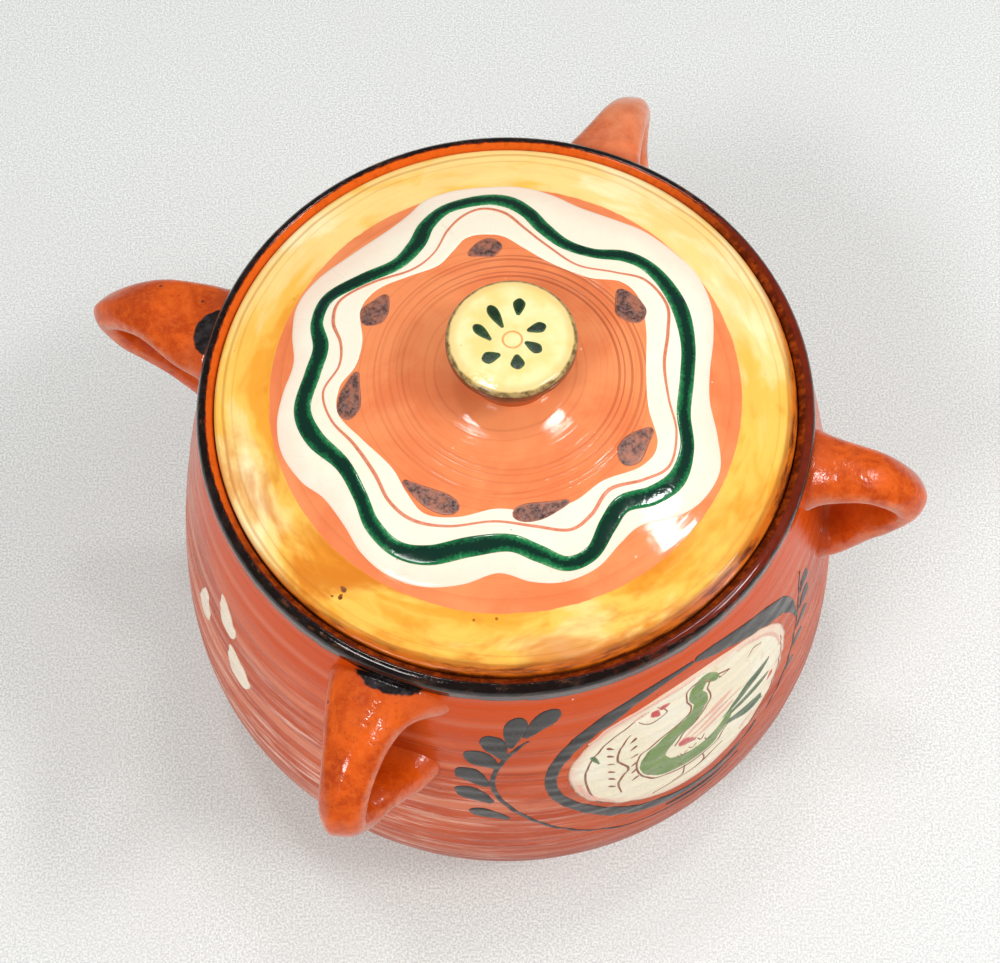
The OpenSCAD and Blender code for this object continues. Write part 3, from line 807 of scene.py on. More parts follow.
scallops = feather_row(7, 4.2, 5.2, 0.55, [(-20, -12, 0.5), (-18.5, -15.5, 0.7), (-16.3, -13, 0.5)])
feathers = feather_row(6, 4.0, 4.5, 0.6, [(-18, -7, 0.4), (-16.4, -9.6, 0.6), (-14.4, -7.4, 0.4)])
sprig = [[(-30, -22, 0.6), (-31, -12, 1.0), (-27, -3, 1.1), (-31, 6, 1.0), (-29, 16, 0.9), (-25, 22, 0.6)]]
ticks = [leaf((-29 + s * 3, -15 + 6.2 * k), (-29 + s * 6, -12.5 + 6.2 * k), 1.3)
         for k in range(6) for s in (-1, 1)]
painted("panel_brown_lines", panel_strokes([
    [(-38, -27, 0.5), (-42, -14, 0.9), (-43.5, 2, 0.9), (-39, 16, 0.8), (-30, 26, 0.7), (-17, 33, 0.5)],
    [(8, 34.6, 0.5), (0.5, 33, 0.8), (-1.2, 26, 0.8), (0.5, 19, 0.8), (-4, 13.5, 0.8), (-13, 9.5, 0.8),
     (-22, 3, 0.8), (-23.5, -8, 0.9), (-18, -20, 0.9), (-5, -25.5, 0.9), (9, -23, 0.8), (17, -14, 0.7)],
    [(15.5, 25.5, 0.4), (12, 30, 0.8), (8.5, 26, 0.8), (9.5, 18, 0.8), (5, 10, 0.8), (-3, 4, 0.8),
     (-8, -3, 0.8)],
    [(13, 29.4, 0.6), (19.5, 26.6, 0.8), (13.5, 26.4, 0.5)],
    [(16, -5, 0.5), (28, 2.5, 0.7), (41, 5.6, 0.5)], [(15, -12, 0.5), (25, -18.5, 0.7), (35.5, -21, 0.5)],
    [(-4, -24, 0.6), (-5, -31, 0.8), (-10, -32.5, 0.5)], [(4, -24, 0.6), (4.5, -30, 0.8), (0, -32, 0.5)],
    [(-18, -36, 0.5), (-2, -33, 0.9), (14, -27, 0.6)],
    [(24, -36, 0.3), (34, -28, 0.7), (43, -17, 0.8), (48, -4, 0.7), (49, 9, 0.5)],
    [(-22, 29, 0.4), (-17, 24, 0.7), (-10, 27, 0.6), (-14, 33.5, 0.5)],
    [(29, 21, 0.4), (33, 24, 0.7), (38, 21, 0.4)],
] + scallops + feathers + sprig + ticks, 0.09), brown_line, "pot", "brown_slip")

# ---------------------------------------------------------------------------------------
# Cream dabs on the left of the belly
# Three teardrops of thick cream slip, each one touch of a loaded brush.


def at_wall(azimuth, height):
    """Across and up, in the panel's flat mm, of a place given in degrees and real height."""
    return (azimuth - PANEL_AZIMUTH) * MM_PER_DEGREE, height - PANEL_Z


dab_marks = [leaf(at_wall(-157, 149), at_wall(-157.5, 124), 11),
             leaf(at_wall(-151, 169), at_wall(-147.5, 147), 12),
             leaf(at_wall(-147, 142), at_wall(-143, 120), 15)]
dab_slip = brushed_finish("dab_slip", shade(248, 232, 208), shade(240, 206, 180),
                          shade(246, 224, 196), 0.66)
dab_strokes = [brush_stroke(on_wall, p, 0.3) for p in dab_marks]
painted("belly_cream_dabs", dab_strokes, dab_slip, "pot", "cream_slip")

# ---------------------------------------------------------------------------------------
# Lid
# A thrown disc that sits on the ledge inside the rim. Its low dome is clear-glazed red
# clay, its border carries pooled honey-yellow glaze, and its underside is bare.

APEX_Z = POT_H + 21.6
DOME_R, DOME_FOOT_Z = 83.0, POT_H + 2.7
LID_R, LID_Z, EDGE_Z = 103.1, POT_H - 7.0, POT_H - 0.9
LID_T, EDGE_ROUND = 6.8, 0.9
DOME_BEND = (APEX_Z - DOME_FOOT_Z) / DOME_R**2


def lid_height(r):
    """Height of the lid's top: a parabola over the dome, and a straight fall over the
    border, eased into each other over a few mm."""
    dome = APEX_Z - DOME_BEND * r * r
    border = DOME_FOOT_Z - (r - DOME_R) * (DOME_FOOT_Z - EDGE_Z) / (LID_R - EDGE_ROUND - DOME_R)
    soft = 0.6
    eased = 0.5 * (dome + border + np.sqrt((dome - border) ** 2 + soft**2))
    return np.where(r > DOME_R - 25, eased, dome)


top_r = np.append(np.linspace(0, 30, 16)[:-1], np.linspace(30, LID_R - EDGE_ROUND, 100))
edge_turn = np.radians(np.linspace(90, 0, 7))[1:]
lid_edge = np.stack([LID_R - EDGE_ROUND + EDGE_ROUND * np.cos(edge_turn),
                     EDGE_Z - EDGE_ROUND + EDGE_ROUND * np.sin(edge_turn)], -1)
under_r = np.linspace(DOME_R + 1, 0, 40)
lid_profile = np.vstack([
    np.stack([top_r, lid_height(top_r)], -1),
    lid_edge,
    evenly([lid_edge[-1], [LID_R, LID_Z + EDGE_ROUND], [LID_R - EDGE_ROUND, LID_Z], [DOME_R + 8, LID_Z],
            [DOME_R + 1, APEX_Z - DOME_BEND * (DOME_R + 1) ** 2 - LID_T]], 1.0)[1:],
    np.stack([under_r, APEX_Z - DOME_BEND * under_r**2 - LID_T], -1)[1:],
])
run = np.append(0, np.cumsum(np.hypot(*np.diff(lid_profile, axis=0).T)))
edge_row = np.argmax(lid_profile[:, 0] > LID_R - 0.05)
lid_form = turned(lid_profile, 400)
# How deep the honey glaze lies on the border, 0 thin to 1 pooled, by azimuth in degrees:
# rows of azimuth, depth beside the dome and depth by the edge
GLAZE_DEPTH = np.array([
    (-180, 0.95, 0.60), (-160, 0.60, 0.06), (-148, 0.68, 0.22), (-135, 0.82, 0.84), (-110, 0.84, 0.72),
    (-92, 0.84, 0.62), (-76, 0.42, 0.12), (-62, 0.86, 0.56), (-42, 0.62, 0.64), (-15, 0.64, 0.66),
    (3, 0.52, 0.54), (16, 0.14, 0.14), (48, 0.20, 0.20), (62, 0.18, 0.08), (80, 0.48, 0.36),
    (118, 0.36, 0.38), (136, 0.40, 0.18), (152, 0.76, 0.30), (168, 0.86, 0.58)])
lid_r = np.hypot(lid_form[..., 0], lid_form[..., 1])
lid_azimuth = np.degrees(np.arctan2(lid_form[..., 1], lid_form[..., 0])) + 4 * np.sin(lid_r * 0.35)
by_dome, by_edge = (np.interp(lid_azimuth, GLAZE_DEPTH[:, 0], GLAZE_DEPTH[:, k], period=360)
                    for k in (1, 2))
outward = ease(lid_r, DOME_R + 2, DOME_R + 11)
lid = fired("lid_thrown_disc", [lid_form], to_edge=[(run[edge_row] - run)[:, None]],
            glaze_depth=[by_dome + (by_edge - by_dome) * outward])

lid_glaze, g, shader, place = new_finish("lid_glaze", IOR=1.5)
x, y = g.node("SeparateXYZ", {0: place}).outputs[:2]
radius = g.node("VectorMath", {0: g.scaled(place, 1, 1, 0)}, operation="LENGTH").outputs["Value"]
rings = g.use(wheel_lines, {"Distance": radius, "Spacing": 1.9, "Place": place})
off_centre = g.node("VectorMath", {0: g.scaled(place, 1, 1, 0), 1: (-2.0, 0.0, 0.0)},
                    operation="ADD").outputs[0]
knob_r = g.node("VectorMath", {0: off_centre}, operation="LENGTH").outputs["Value"]
# Dome: red clay under clear glaze, with a few firm wheel grooves round the knob
cloud = g.noise(place, 30, 4.0, 0.6, 0.5)
dome = g.mix(g.smooth(cloud, 0.35, 0.66), shade(246, 148, 94), shade(236, 128, 78))
dome = g.mix(g.times(g.smooth(rings["Lines"], 0.54, 0.7), 0.22), dome, shade(186, 80, 42))
groove_zone = g.times(g.smooth(knob_r, 33, 37), g.smooth(knob_r, 50, 46))
groove_noise = g.node("TexNoise", {"W": g.plus(g.over(knob_r, 1.55), g.noise(place, 60, 1.0)),
                                   "Scale": 1.0, "Detail": 1.0}, noise_dimensions="1D").outputs[0]
to_right = g.smooth(g.toward(x, y, 0.75, 0.65, 1.0), -20, 45, 0.3, 1.0)
firm = g.times(g.times(g.smooth(groove_noise, 0.5, 0.66), groove_zone), to_right)
dome = g.mix(g.times(firm, 0.6), dome, shade(168, 72, 40))
dust = scattered(g, 0.6, 8.0, 0.35, place)
dome = g.mix(g.times(dust, 0.6), dome, shade(250, 220, 190))
# Border: honey glaze, pale where thin and amber where it pooled
azimuth = g.math("ARCTAN2", y, x)
lap = g.node("CombineXYZ", {0: g.times(g.math("COSINE", azimuth), 62.0),
                            1: g.times(g.math("SINE", azimuth), 62.0), 2: radius}).outputs[0]
drift = g.times(g.minus(g.noise(g.scaled(lap, 1, 1, 1.8), 13, 4.0, 0.5, 0.5), 0.5), 0.85)
depth = g.plus(g.mark("glaze_depth"), drift)
honey = g.mix(g.smooth(depth, 0.0, 0.3), shade(254, 236, 180), shade(251, 216, 136))
honey = g.mix(g.smooth(depth, 0.36, 0.6), honey, shade(249, 196, 88))
honey = g.mix(g.smooth(depth, 0.64, 0.86), honey, shade(244, 166, 56))
honey = g.mix(g.smooth(depth, 0.92, 1.15), honey, shade(226, 130, 34))
frontward = g.toward(x, y, 0.5, -0.86, LID_R)
stain = g.smooth(g.noise(g.scaled(lap, 1, 1, 1.5), 24, 4.0, 0.6, 0.4), 0.42, 0.62)
nearest = g.toward(x, y, -0.26, -0.96, LID_R)
stain = g.times(stain, g.smooth(nearest, -0.1, 0.85, 0.1, 0.85))
honey = g.mix(stain, honey, shade(212, 118, 28))
outer = g.smooth(radius, 95.5, 98.5)
outer_lines = g.times(g.smooth(rings["Lines"], 0.5, 0.64), g.times(outer, 0.4))
pool_from = g.smooth(frontward, -0.1, 0.9, 101.0, 97.5)
pool_to = g.smooth(frontward, -0.1, 0.9, 103.5, 101.5)
pooled = g.times(g.smooth(radius, pool_from, pool_to), g.smooth(frontward, -0.7, 0.5, 0.3, 1.0))
pool_streaks = g.smooth(g.noise(g.scaled(lap, 1, 1, 4), 9, 4.0, 0.65), 0.4, 0.64)
honey = g.mix(pooled, honey, g.mix(pool_streaks, shade(196, 98, 16), shade(96, 34, 6)))
honey = g.mix(outer_lines, honey, shade(178, 92, 20))
honey = g.mix(g.times(g.smooth(rings["Lines"], 0.56, 0.72), 0.15), honey, shade(196, 116, 36))
dots = scattered(g, 0.7, 7.0, 0.3, place)
honey = g.mix(g.times(dots, 0.75), honey, shade(120, 62, 18))
border = ragged(g, radius, DOME_R, 0.5, 0.5, 6.0, place)
colour = g.mix(border, dome, honey)
# Underside: bare clay, paler and dry
bare = g.smooth(g.mark("to_edge"), -1.5, -3.0)
dry_clay = g.mix(g.noise(place, 18, 4.0), shade(204, 120, 84), shade(182, 96, 64))
dry_clay = g.mix(g.times(g.smooth(rings["Lines"], 0.5, 0.66), 0.4), dry_clay, shade(150, 78, 52))
colour = g.mix(bare, colour, dry_clay)
peel = dimpled(g, 1.8, place)
relief = g.plus(g.times(rings["Lines"], 0.3), g.times(peel, 0.3))
relief = g.minus(relief, g.times(firm, 1.2))
relief = g.minus(relief, g.times(outer_lines, 0.9))
relief = g.plus(relief, g.times(border, 0.4))
gloss = g.smooth(g.noise(place, 10, 3.0), 0.3, 0.7, 0.03, 0.09)
gloss = g.plus(gloss, g.times(bare, 0.5))
coat_with(g, shader, colour, gloss, relief, 0.11)
settle(lid, lid_glaze, "lid", "lid_glaze", "lid")

# ---------------------------------------------------------------------------------------
# Slip painting on the lid
# A wavy band of cream slip trailed round the dome, a green copper-glaze line and a thin
# red-brown line that follow it, and dark manganese dabs in its hollows.


def on_lid(across, up, lift):
    """The point above (across, up) mm from the lid's middle, lift mm off its surface."""
    r = np.hypot(across, up)
    slope = (lid_height(r + 0.5) - lid_height(np.maximum(r - 0.5, 0))) / np.where(r > 0.5, 1.0, 0.5 + r)
    tilt = lift / np.sqrt(1 + slope**2)
    turn = np.where(r > 1e-6, -slope * tilt / np.maximum(r, 1e-6), 0)
    return np.stack([across + across * turn, up + up * turn, lid_height(r) + tilt], -1)


def waved_band(lay, inner, outer, thick=0.22, sink=0.4, dip=0.3, around=420, rings=26):
    """A closed band of slip between two wavy edges, flat on top. Both edges dip into the
    clay, and rise to the full thickness as an exponential of the distance from the edge."""
    azimuth = np.linspace(-180, 180, around, endpoint=False)

    def reach(points):
        """Distance of a wavy edge from the middle at each azimuth."""
        line = smooth_line(points, 900, True)
        at = np.degrees(np.arctan2(line[:, 1], line[:, 0]))
        return np.interp(azimuth, at, np.hypot(*line.T), period=360)

    near, far = reach(inner)[None, :] - 0.5, reach(outer)[None, :] + 0.5
    share = np.concatenate([np.linspace(0, 1, rings), np.linspace(1, 0, 12)[1:-1]])[:, None]
    top = (np.arange(len(share)) < rings)[:, None]
    r = near + (far - near) * share
    edge = (far - near) * np.minimum(share, 1 - share)
    crown_lift = thick - (thick + dip) * np.exp(-edge / 0.35)
    lift = np.where(top, crown_lift, -dip - sink * np.clip(edge / 0.8, 0, 1))
    a = np.radians(azimuth)[None, :]
    return lay(r * np.cos(a), r * np.sin(a), lift), edge, (far - r) + 0 * a


band_outer = [(-5, 84.3), (8, 84), (19, 80), (30, 73), (43, 67.5), (53, 63), (63, 54), (71, 44),
              (75, 31), (74.5, 17), (72, 3), (71, -9), (73, -22), (73, -34), (66, -45), (56, -51.5),
              (44, -55), (37, -61), (29, -69), (18, -73.5), (7, -73.5), (-4, -70.5), (-16, -73.5),
              (-29, -73.5), (-41, -69), (-50, -61), (-56, -51), (-63, -41), (-71, -34), (-78, -23),
              (-80, -11), (-78, 0), (-74.5, 11), (-75.5, 24), (-74, 36), (-67, 46), (-55, 55),
              (-42, 64.5), (-34, 72), (-28, 79), (-18, 83)]
band_inner = [(-6, 57.5), (1, 56), (8, 50), (17, 43), (30, 36.8), (42, 36), (48, 29), (49.5, 16),
              (48.5, 0), (48.5, -14), (51, -27), (45, -35), (32, -40.5), (22, -47.5), (10, -51),
              (-4, -49.8), (-17, -51.8), (-28, -50), (-34, -42.5), (-39, -33.5), (-49, -22.5),
              (-57.5, -12), (-57, -2), (-51.5, 5), (-49, 15), (-50, 28), (-44, 36), (-33, 40),
              (-22.5, 43.5), (-17, 50), (-12.5, 56)]
green_wave = [(-6, 76.5), (3, 75), (10, 69), (15.5, 60.5), (23, 52.5), (33, 48.7), (44, 48.5), (52, 45),
              (58.5, 37), (63, 26), (64.5, 12), (63, -2), (61, -15), (61.5, -27), (57.5, -38),
              (49, -44.5), (38.5, -48), (33, -55), (27.5, -64), (19, -67.7), (9.5, -64.5), (0, -61),
              (-13, -61.7), (-27, -63.5), (-38, -60.5), (-46, -52), (-50, -42), (-56, -30.5),
              (-66, -19.5), (-70.5, -8), (-67, 5), (-64.3, 15), (-66, 26), (-62, 36), (-50, 41.8),
              (-37.5, 46.5), (-30.5, 55), (-26.5, 65), (-19, 73)]
red_wave = [(-6, 71.5), (2, 68.5), (9, 60), (17, 51), (27, 42.5), (40, 40.3), (51, 38), (58, 28),
            (57.5, 16), (55.3, 3), (56, -10), (58, -22), (55, -34), (46, -39.5), (34, -43.5),
            (27.5, -52), (20, -57), (8, -55.8), (-5, -54), (-20, -54.8), (-32, -52), (-40, -45),
            (-45, -35), (-52, -24), (-60, -14), (-63, -3), (-57.5, 6), (-57, 15), (-60, 25),
            (-57.5, 34), (-46, 39.5), (-32, 43), (-24, 50), (-19, 61), (-13, 68.5)]

form, edge, from_out = waved_band(on_lid, band_inner, band_outer, 0.14)
band_slip, g, shader, place = new_finish("band_slip", IOR=1.5)
thin = g.plus(g.mark("from_out"), g.times(g.minus(g.noise(place, 26, 3.0), 0.5), 14.0))
cream = g.mix(g.smooth(g.noise(place, 26, 4.0), 0.4, 0.7), shade(251, 238, 214), shade(249, 243, 222))
cream = g.mix(g.smooth(thin, 12.0, 1.0, 0.0, 0.5), cream, shade(248, 214, 196))
cream = g.mix(g.smooth(g.mark("edge"), 0.6, 0.0, 0.0, 0.7), cream, shade(246, 178, 140))
crazing = g.node("TexVoronoi", {"Vector": g.scaled(place, 0.14, 0.14, 0.14), "Scale": 1.0},
                 feature="DISTANCE_TO_EDGE").outputs["Distance"]
cream = g.mix(g.smooth(crazing, 0.014, 0.0, 0.0, 0.1), cream, shade(190, 140, 110))
grits = scattered(g, 0.4, 8.0, 0.3, place)
cream = g.mix(g.times(grits, 0.5), cream, shade(150, 100, 70))
peel = dimpled(g, 2.2, place)
coat_with(g, shader, cream, g.smooth(g.noise(place, 12), 0.3, 0.7, 0.05, 0.13), peel, 0.07)
band = fired("lid_cream_band", [form], True, edge=[edge], from_out=[from_out])
settle(band, band_slip, "lid", "cream_slip")


def swelling(points, width, swell, phase):
    """Closed stroke points with a width that grows and shrinks as the hand moves."""
    k = np.arange(len(points))
    grow = width + swell * np.sin(k * 0.9 + phase) + 0.4 * swell * np.sin(k * 2.3)
    return [(p[0], p[1], w) for p, w in zip(points, grow)]


copper_green, g, shader, place = new_finish("copper_green", IOR=1.5)
side = g.node("Math", {0: g.mark("across")}, operation="ABSOLUTE").outputs[0]
frost = g.plus(side, g.times(g.minus(g.noise(place, 1.0, 2.0), 0.5), 0.9))
frost = g.plus(frost, g.times(g.minus(g.noise(place, 22, 2.0), 0.5), 1.5))
colour = g.mix(g.smooth(frost, 0.3, 0.9), shade(8, 46, 34), shade(30, 118, 68))
colour = g.mix(g.smooth(frost, 0.85, 1.25, 0.0, 0.85), colour, shade(120, 178, 126))
colour = g.mix(g.smooth(g.noise(place, 14, 2.0), 0.56, 0.7, 0.0, 0.7), colour, shade(16, 40, 46))
peel = dimpled(g, 1.8, place)
coat_with(g, shader, colour, g.smooth(g.noise(place, 8), 0.3, 0.7, 0.06, 0.16), peel, 0.08)
form, edge, along, across = brush_stroke(on_lid, swelling(green_wave, 5.6, 0.8, 0.4), 0.3, 0.22,
                                         closed=True, stations=700)
green = fired("lid_green_line", [form], True, edge=[edge], along=[along], across=[across])
settle(green, copper_green, "lid", "green_slip")

red_brown = brushed_finish("red_brown_line", shade(206, 104, 72), shade(224, 138, 104),
                           shade(186, 84, 54), 0.62)
form, edge, along, across = brush_stroke(on_lid, swelling(red_wave, 1.0, 0.22, 1.0), 0.12, 0.2,
                                         closed=True, stations=700)
red = fired("lid_red_brown_line", [form], True, edge=[edge], along=[along], across=[across])
settle(red, red_brown, "lid", "brown_slip")

manganese, g, shader, place = new_finish("manganese_dabs", IOR=1.5)
speckle = g.noise(place, 1.3, 4.0, 0.7)
colour = g.mix(g.smooth(speckle, 0.4, 0.62), shade(78, 56, 54), shade(142, 104, 94))
colour = g.mix(g.smooth(g.noise(place, 5, 3.0), 0.42, 0.66, 0.0, 0.7), colour, shade(186, 116, 88))
colour = g.mix(g.smooth(g.mark("edge"), 0.9, 0.0, 0.0, 0.6), colour, shade(206, 120, 88))
colour = g.mix(g.smooth(g.noise(place, 0.8, 2.0), 0.66, 0.74), colour, shade(30, 20, 22))
coat_with(g, shader, colour, g.smooth(speckle, 0.3, 0.7, 0.2, 0.5), speckle, 0.14)
dabs = [leaf((-12, 47.5), (0.5, 51.5), 9.5, 1.0), leaf((-41, 33.5), (-49, 21.5), 10.5, 0.8),
        leaf((-51, 3), (-54, -15), 8.5, -1.0), leaf((-35.5, -38.5), (-16.5, -49.5), 7.0, -1.2),
        leaf((20.5, -47.5), (1, -52), 6.4, 1.2), leaf((50, -21.5), (39, -35), 9.0, -1.0),
        leaf((41, 33), (46.5, 18.5), 12.0, 0.6)]
dab_strokes = [brush_stroke(on_lid, d, 0.16, 0.05) for d in dabs]
painted("lid_manganese_dabs", dab_strokes, manganese, "lid", "brown_slip")
iron_spot = brushed_finish("iron_spot", shade(104, 52, 14), shade(150, 84, 24), shade(70, 32, 10), 0.6)
iron_marks = [leaf((-57.2, -71), (-55.6, -73.2), 1.9, 0.2),
              leaf((-56.6, -73.6), (-57.4, -75.6), 1.7, -0.2), leaf((-60.6, -73.8), (-59.6, -74.4), 0.8)]
spot_strokes = [brush_stroke(on_lid, m, 0.06) for m in iron_marks]
painted("lid_iron_spots", spot_strokes, iron_spot, "lid", "brown_slip")

# ---------------------------------------------------------------------------------------
# Knob
# A small turned cup of clay set a little off the lid's middle. Its flat top has a pale
# yellow glaze, its edge is worn, and its side is coated dark brown.

KNOB_X = 2.4
KNOB_R, KNOB_FOOT_R, KNOB_TOP_Z = 22.0, 15.5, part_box("lid_knob")[1].z / MM
KNOB_EDGE, KNOB_CROWN = 2.2, 0.9
knob_foot_z = APEX_Z - DOME_BEND * (KNOB_FOOT_R + KNOB_X) ** 2
neck_top_z = KNOB_TOP_Z - KNOB_CROWN - 2 * KNOB_EDGE


def crown(r):
    """Height of the knob's top at radius r: a very flat dome."""
    return KNOB_TOP_Z - KNOB_CROWN * (r / (KNOB_R - KNOB_EDGE)) ** 2


top_line = np.linspace(0, KNOB_R - KNOB_EDGE, 30)
turn = np.radians(np.linspace(90, -10, 14))[1:]
neck_t = np.linspace(1, 0, 30)
knob_profile = np.vstack([
    np.stack([top_line, crown(top_line)], -1),
    np.stack([KNOB_R - KNOB_EDGE + KNOB_EDGE * np.cos(turn),
              KNOB_TOP_Z - KNOB_CROWN - KNOB_EDGE + KNOB_EDGE * np.sin(turn)], -1),
    np.stack([KNOB_FOOT_R + (KNOB_R - KNOB_FOOT_R) * neck_t**1.8,
              knob_foot_z + (neck_top_z - knob_foot_z) * neck_t], -1),
    [[KNOB_FOOT_R + 1.2, knob_foot_z - 0.4], [KNOB_FOOT_R, knob_foot_z - 1.6]],
    evenly([[KNOB_FOOT_R, knob_foot_z - 1.6], [0, knob_foot_z - 1.6]], 4)[1:],
])
run = np.append(0, np.cumsum(np.hypot(*np.diff(knob_profile, axis=0).T)))[:, None]
knob_form = turned(knob_profile, 160) + np.array([KNOB_X, 0, 0])
knob = fired("knob_turned", [knob_form], from_top=[run])

knob_glaze, g, shader, place = new_finish("knob_glaze", IOR=1.5)
z = g.node("SeparateXYZ", {0: place}).outputs[2]
way = g.mark("from_top")
cream = g.mix(g.smooth(g.noise(place, 11, 3.0), 0.36, 0.66), shade(252, 232, 172), shade(246, 216, 138))
cream = g.mix(g.smooth(way, 17.0, 20.0, 0.0, 0.6), cream, shade(226, 190, 116))
grits = scattered(g, 0.5, 5.0, 0.3, place)
cream = g.mix(g.times(grits, 0.7), cream, shade(110, 66, 30))
worn = g.mix(g.smooth(g.noise(place, 2.2, 4.0, 0.7), 0.4, 0.62), shade(176, 148, 92), shade(112, 86, 52))
side_glaze = g.mix(g.smooth(g.noise(place, 7, 4.0), 0.4, 0.68), shade(122, 62, 36), shade(66, 36, 26))
side_glaze = g.mix(g.smooth(z, knob_foot_z + 9, knob_foot_z - 1), side_glaze, shade(196, 88, 40))
top_edge = ragged(g, way, 20.7, 0.9, 0.6, 4.0, place)
side_edge = ragged(g, way, 22.6, 0.9, 0.8, 3.0, place)
colour = g.mix(side_edge, g.mix(top_edge, cream, worn), side_glaze)
peel = dimpled(g, 1.6, place)
relief = g.plus(peel, g.times(g.noise(place, 2.0, 3.0), g.times(top_edge, 0.6)))
coat_with(g, shader, colour, g.smooth(g.noise(place, 5), 0.3, 0.7, 0.06, 0.16), relief, 0.06)
settle(knob, knob_glaze, "lid", "knob_glaze", "lid_knob")

# ---------------------------------------------------------------------------------------
# Flower on the knob
# Seven quick touches of dark green round a small ring drawn in orange-brown.


def on_knob(across, up, lift):
    """The point on the knob's top at (across, up) mm from the knob's middle."""
    return np.stack([across + KNOB_X, up + 0 * across, crown(np.hypot(across, up)) + lift], -1)


petal_green = brushed_finish("petal_green", shade(22, 44, 24), shade(58, 92, 48), shade(34, 62, 34), 0.58)
petals = [leaf((-2.6, 2.6), (-7.2, 11.6), 3.8), leaf((2.4, 7.2), (3.2, 14), 4.2),
          leaf((5.0, 1.4), (11.6, 3.4), 4.0), leaf((4.2, -2.6), (9.8, -6.2), 3.9),
          leaf((1.5, -7.0), (1.9, -12.6), 4.8), leaf((-3.6, -7.0), (-10, -8.6), 4.4),
          leaf((-6.6, -1.8), (-12.4, 4.4), 3.6)]
painted("knob_petals", [brush_stroke(on_knob, p, 0.16) for p in petals], petal_green, "lid", "green_slip")
ring_angle = np.radians(np.arange(0, 360, 36))
ring_points = [(0.3 + 3.2 * np.cos(a), -1.7 + 3.0 * np.sin(a), 0.7) for a in ring_angle]
form, edge, along, across = brush_stroke(on_knob, ring_points, 0.1, closed=True, stations=90)
knob_ring_slip = brushed_finish("knob_ring_slip", shade(226, 140, 66), shade(236, 168, 96),
                                shade(206, 116, 48), 0.62)
knob_ring = fired("knob_flower_ring", [form], True, edge=[edge], along=[along], across=[across])
settle(knob_ring, knob_ring_slip, "lid", "brown_slip")

# ---------------------------------------------------------------------------------------
# Table, lamps and camera
# A pale laminate top with a fine grey speckle. Two small lamps hang overhead and two larger
# ones stand at the front, and two wide fills light the pot without showing in its glaze.
# The room is white, and looks dimmer in the glaze than the light that it gives.

laminate, g, shader, place = new_finish("laminate", IOR=1.45)
grain = g.noise(place, 0.95, 2.0, 0.6)
colour = g.mix(g.smooth(grain, 0.36, 0.64), shade(208, 211, 209), shade(244, 247, 243))
colour = g.mix(g.smooth(g.noise(place, 0.5, 2.0), 0.62, 0.72, 0.0, 0.3), colour, shade(184, 187, 186))
colour = g.mix(g.smooth(g.noise(place, 60, 2.0), 0.4, 0.7, 0.0, 0.25), colour, shade(228, 228, 226))
coat_with(g, shader, colour, g.smooth(grain, 0.3, 0.7, 0.45, 0.55), grain, 0.02)
TABLE_HALF = 3.0
corners = [(x * TABLE_HALF, y * TABLE_HALF, 0) for x, y in ((-1, -1), (1, -1), (1, 1), (-1, 1))]
table = bpy.data.meshes.new("table_top")
table.from_pydata(corners, [], [(0, 1, 2, 3)])
table.materials.append(laminate)
table_top = bpy.data.objects.new("table_top", table)
bpy.context.scene.collection.objects.link(table_top)


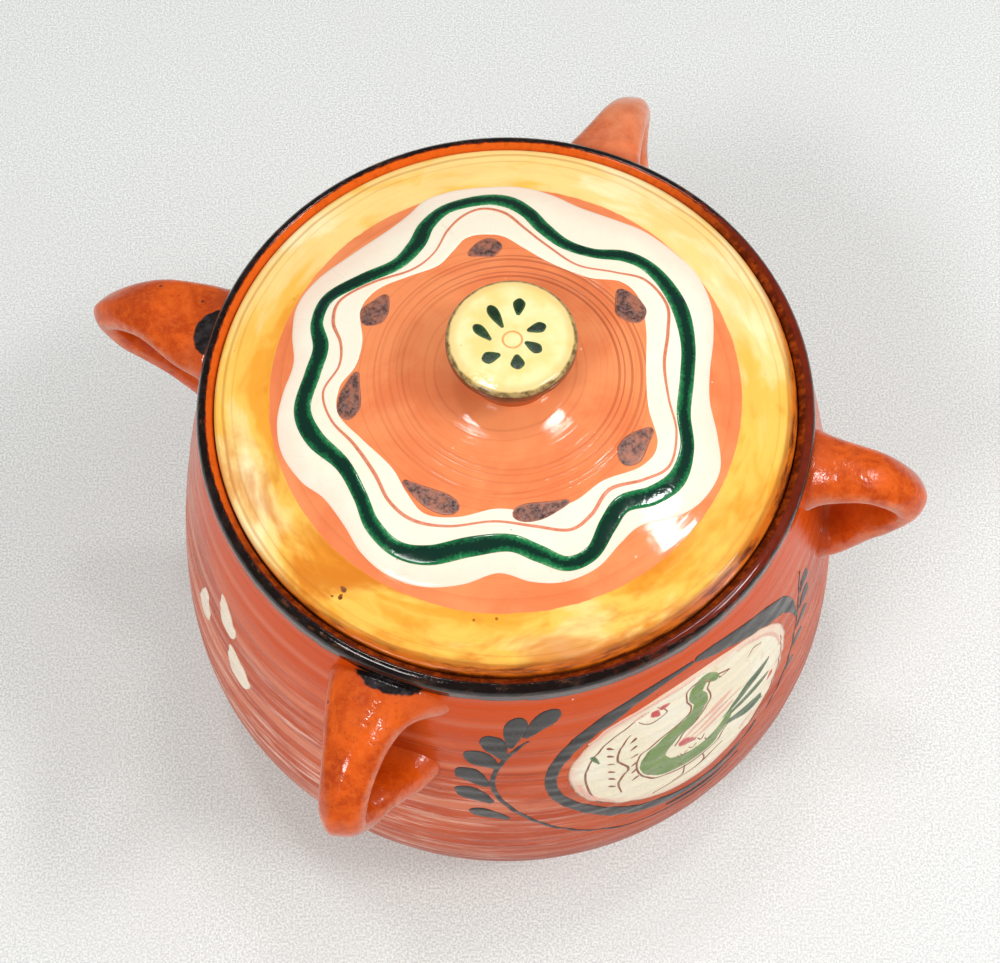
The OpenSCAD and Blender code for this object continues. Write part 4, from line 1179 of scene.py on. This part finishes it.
def lamp(name, azimuth, elevation, distance, width, height, watts, mirrored=True):
    """A soft rectangular lamp that looks at the lid from that direction. One that isn't
    mirrored lights things evenly, but glazes don't show it."""
    light = bpy.data.lights.new(name, "AREA")
    light.shape, light.size, light.size_y, light.energy = "RECTANGLE", width, height, watts
    a, e = np.radians(azimuth), np.radians(elevation)
    way = Vector((np.cos(a) * np.cos(e), np.sin(a) * np.cos(e), np.sin(e)))
    holder = bpy.data.objects.new(name, light)
    holder.location = Vector((0, 0, 0.2)) + way * distance
    holder.rotation_mode = "QUATERNION"
    holder.rotation_quaternion = way.to_track_quat("Z", "Y")
    holder.visible_glossy = mirrored
    bpy.context.scene.collection.objects.link(holder)


ROOM_LIGHT, ROOM_MIRRORED = 0.45, 0.16
lamp("overhead_left", 113, 75, 1.7, 0.15, 0.15, 2.6)
lamp("overhead_right", 49, 73, 1.7, 0.15, 0.15, 2.6)
lamp("front_right", -14, 52, 1.8, 0.32, 0.12, 6.0)
lamp("front_left", -132, 50, 1.8, 0.5, 0.3, 9.5)
lamp("left_fill", -130, 30, 1.1, 0.9, 0.6, 1.8, mirrored=False)
lamp("right_fill", -5, 38, 1.2, 0.9, 0.7, 5.2, mirrored=False)

room = bpy.data.worlds.new("room")
room.use_nodes = True
walls = Recipe(room.node_tree)
background = room.node_tree.nodes["Background"]
background.inputs["Color"].default_value = (1.0, 1.0, 1.0, 1.0)
mirrored = walls.node("LightPath").outputs["Is Glossy Ray"]
strength = walls.smooth(mirrored, 0.0, 1.0, ROOM_LIGHT, ROOM_MIRRORED)
room.node_tree.links.new(strength, background.inputs["Strength"])
bpy.context.scene.world = room
bpy.context.scene.view_settings.view_transform = "Standard"

LENS, AIM, DISTANCE, LOOK_DOWN, ROLL = 59.88, Vector((-0.0027, 0.0, 0.131)), 0.66, 66.81, 1.592
eye = bpy.data.objects.new("camera", bpy.data.cameras.new("camera"))
eye.data.lens, eye.data.sensor_width, eye.data.sensor_fit = LENS, 36.0, "HORIZONTAL"
eye.data.clip_start, eye.data.clip_end = 0.01, 20.0
e, roll = np.radians(LOOK_DOWN), np.radians(ROLL)
forward = Vector((0.0, np.cos(e), -np.sin(e)))
level, upright = Vector((1.0, 0.0, 0.0)), Vector((0.0, np.sin(e), np.cos(e)))
right = level * np.cos(roll) - upright * np.sin(roll)
up = level * np.sin(roll) + upright * np.cos(roll)
turn = Matrix((right, up, -forward)).transposed().to_4x4()
turn.translation = AIM - forward * DISTANCE
eye.matrix_world = turn
bpy.context.scene.collection.objects.link(eye)
bpy.context.scene.camera = eye
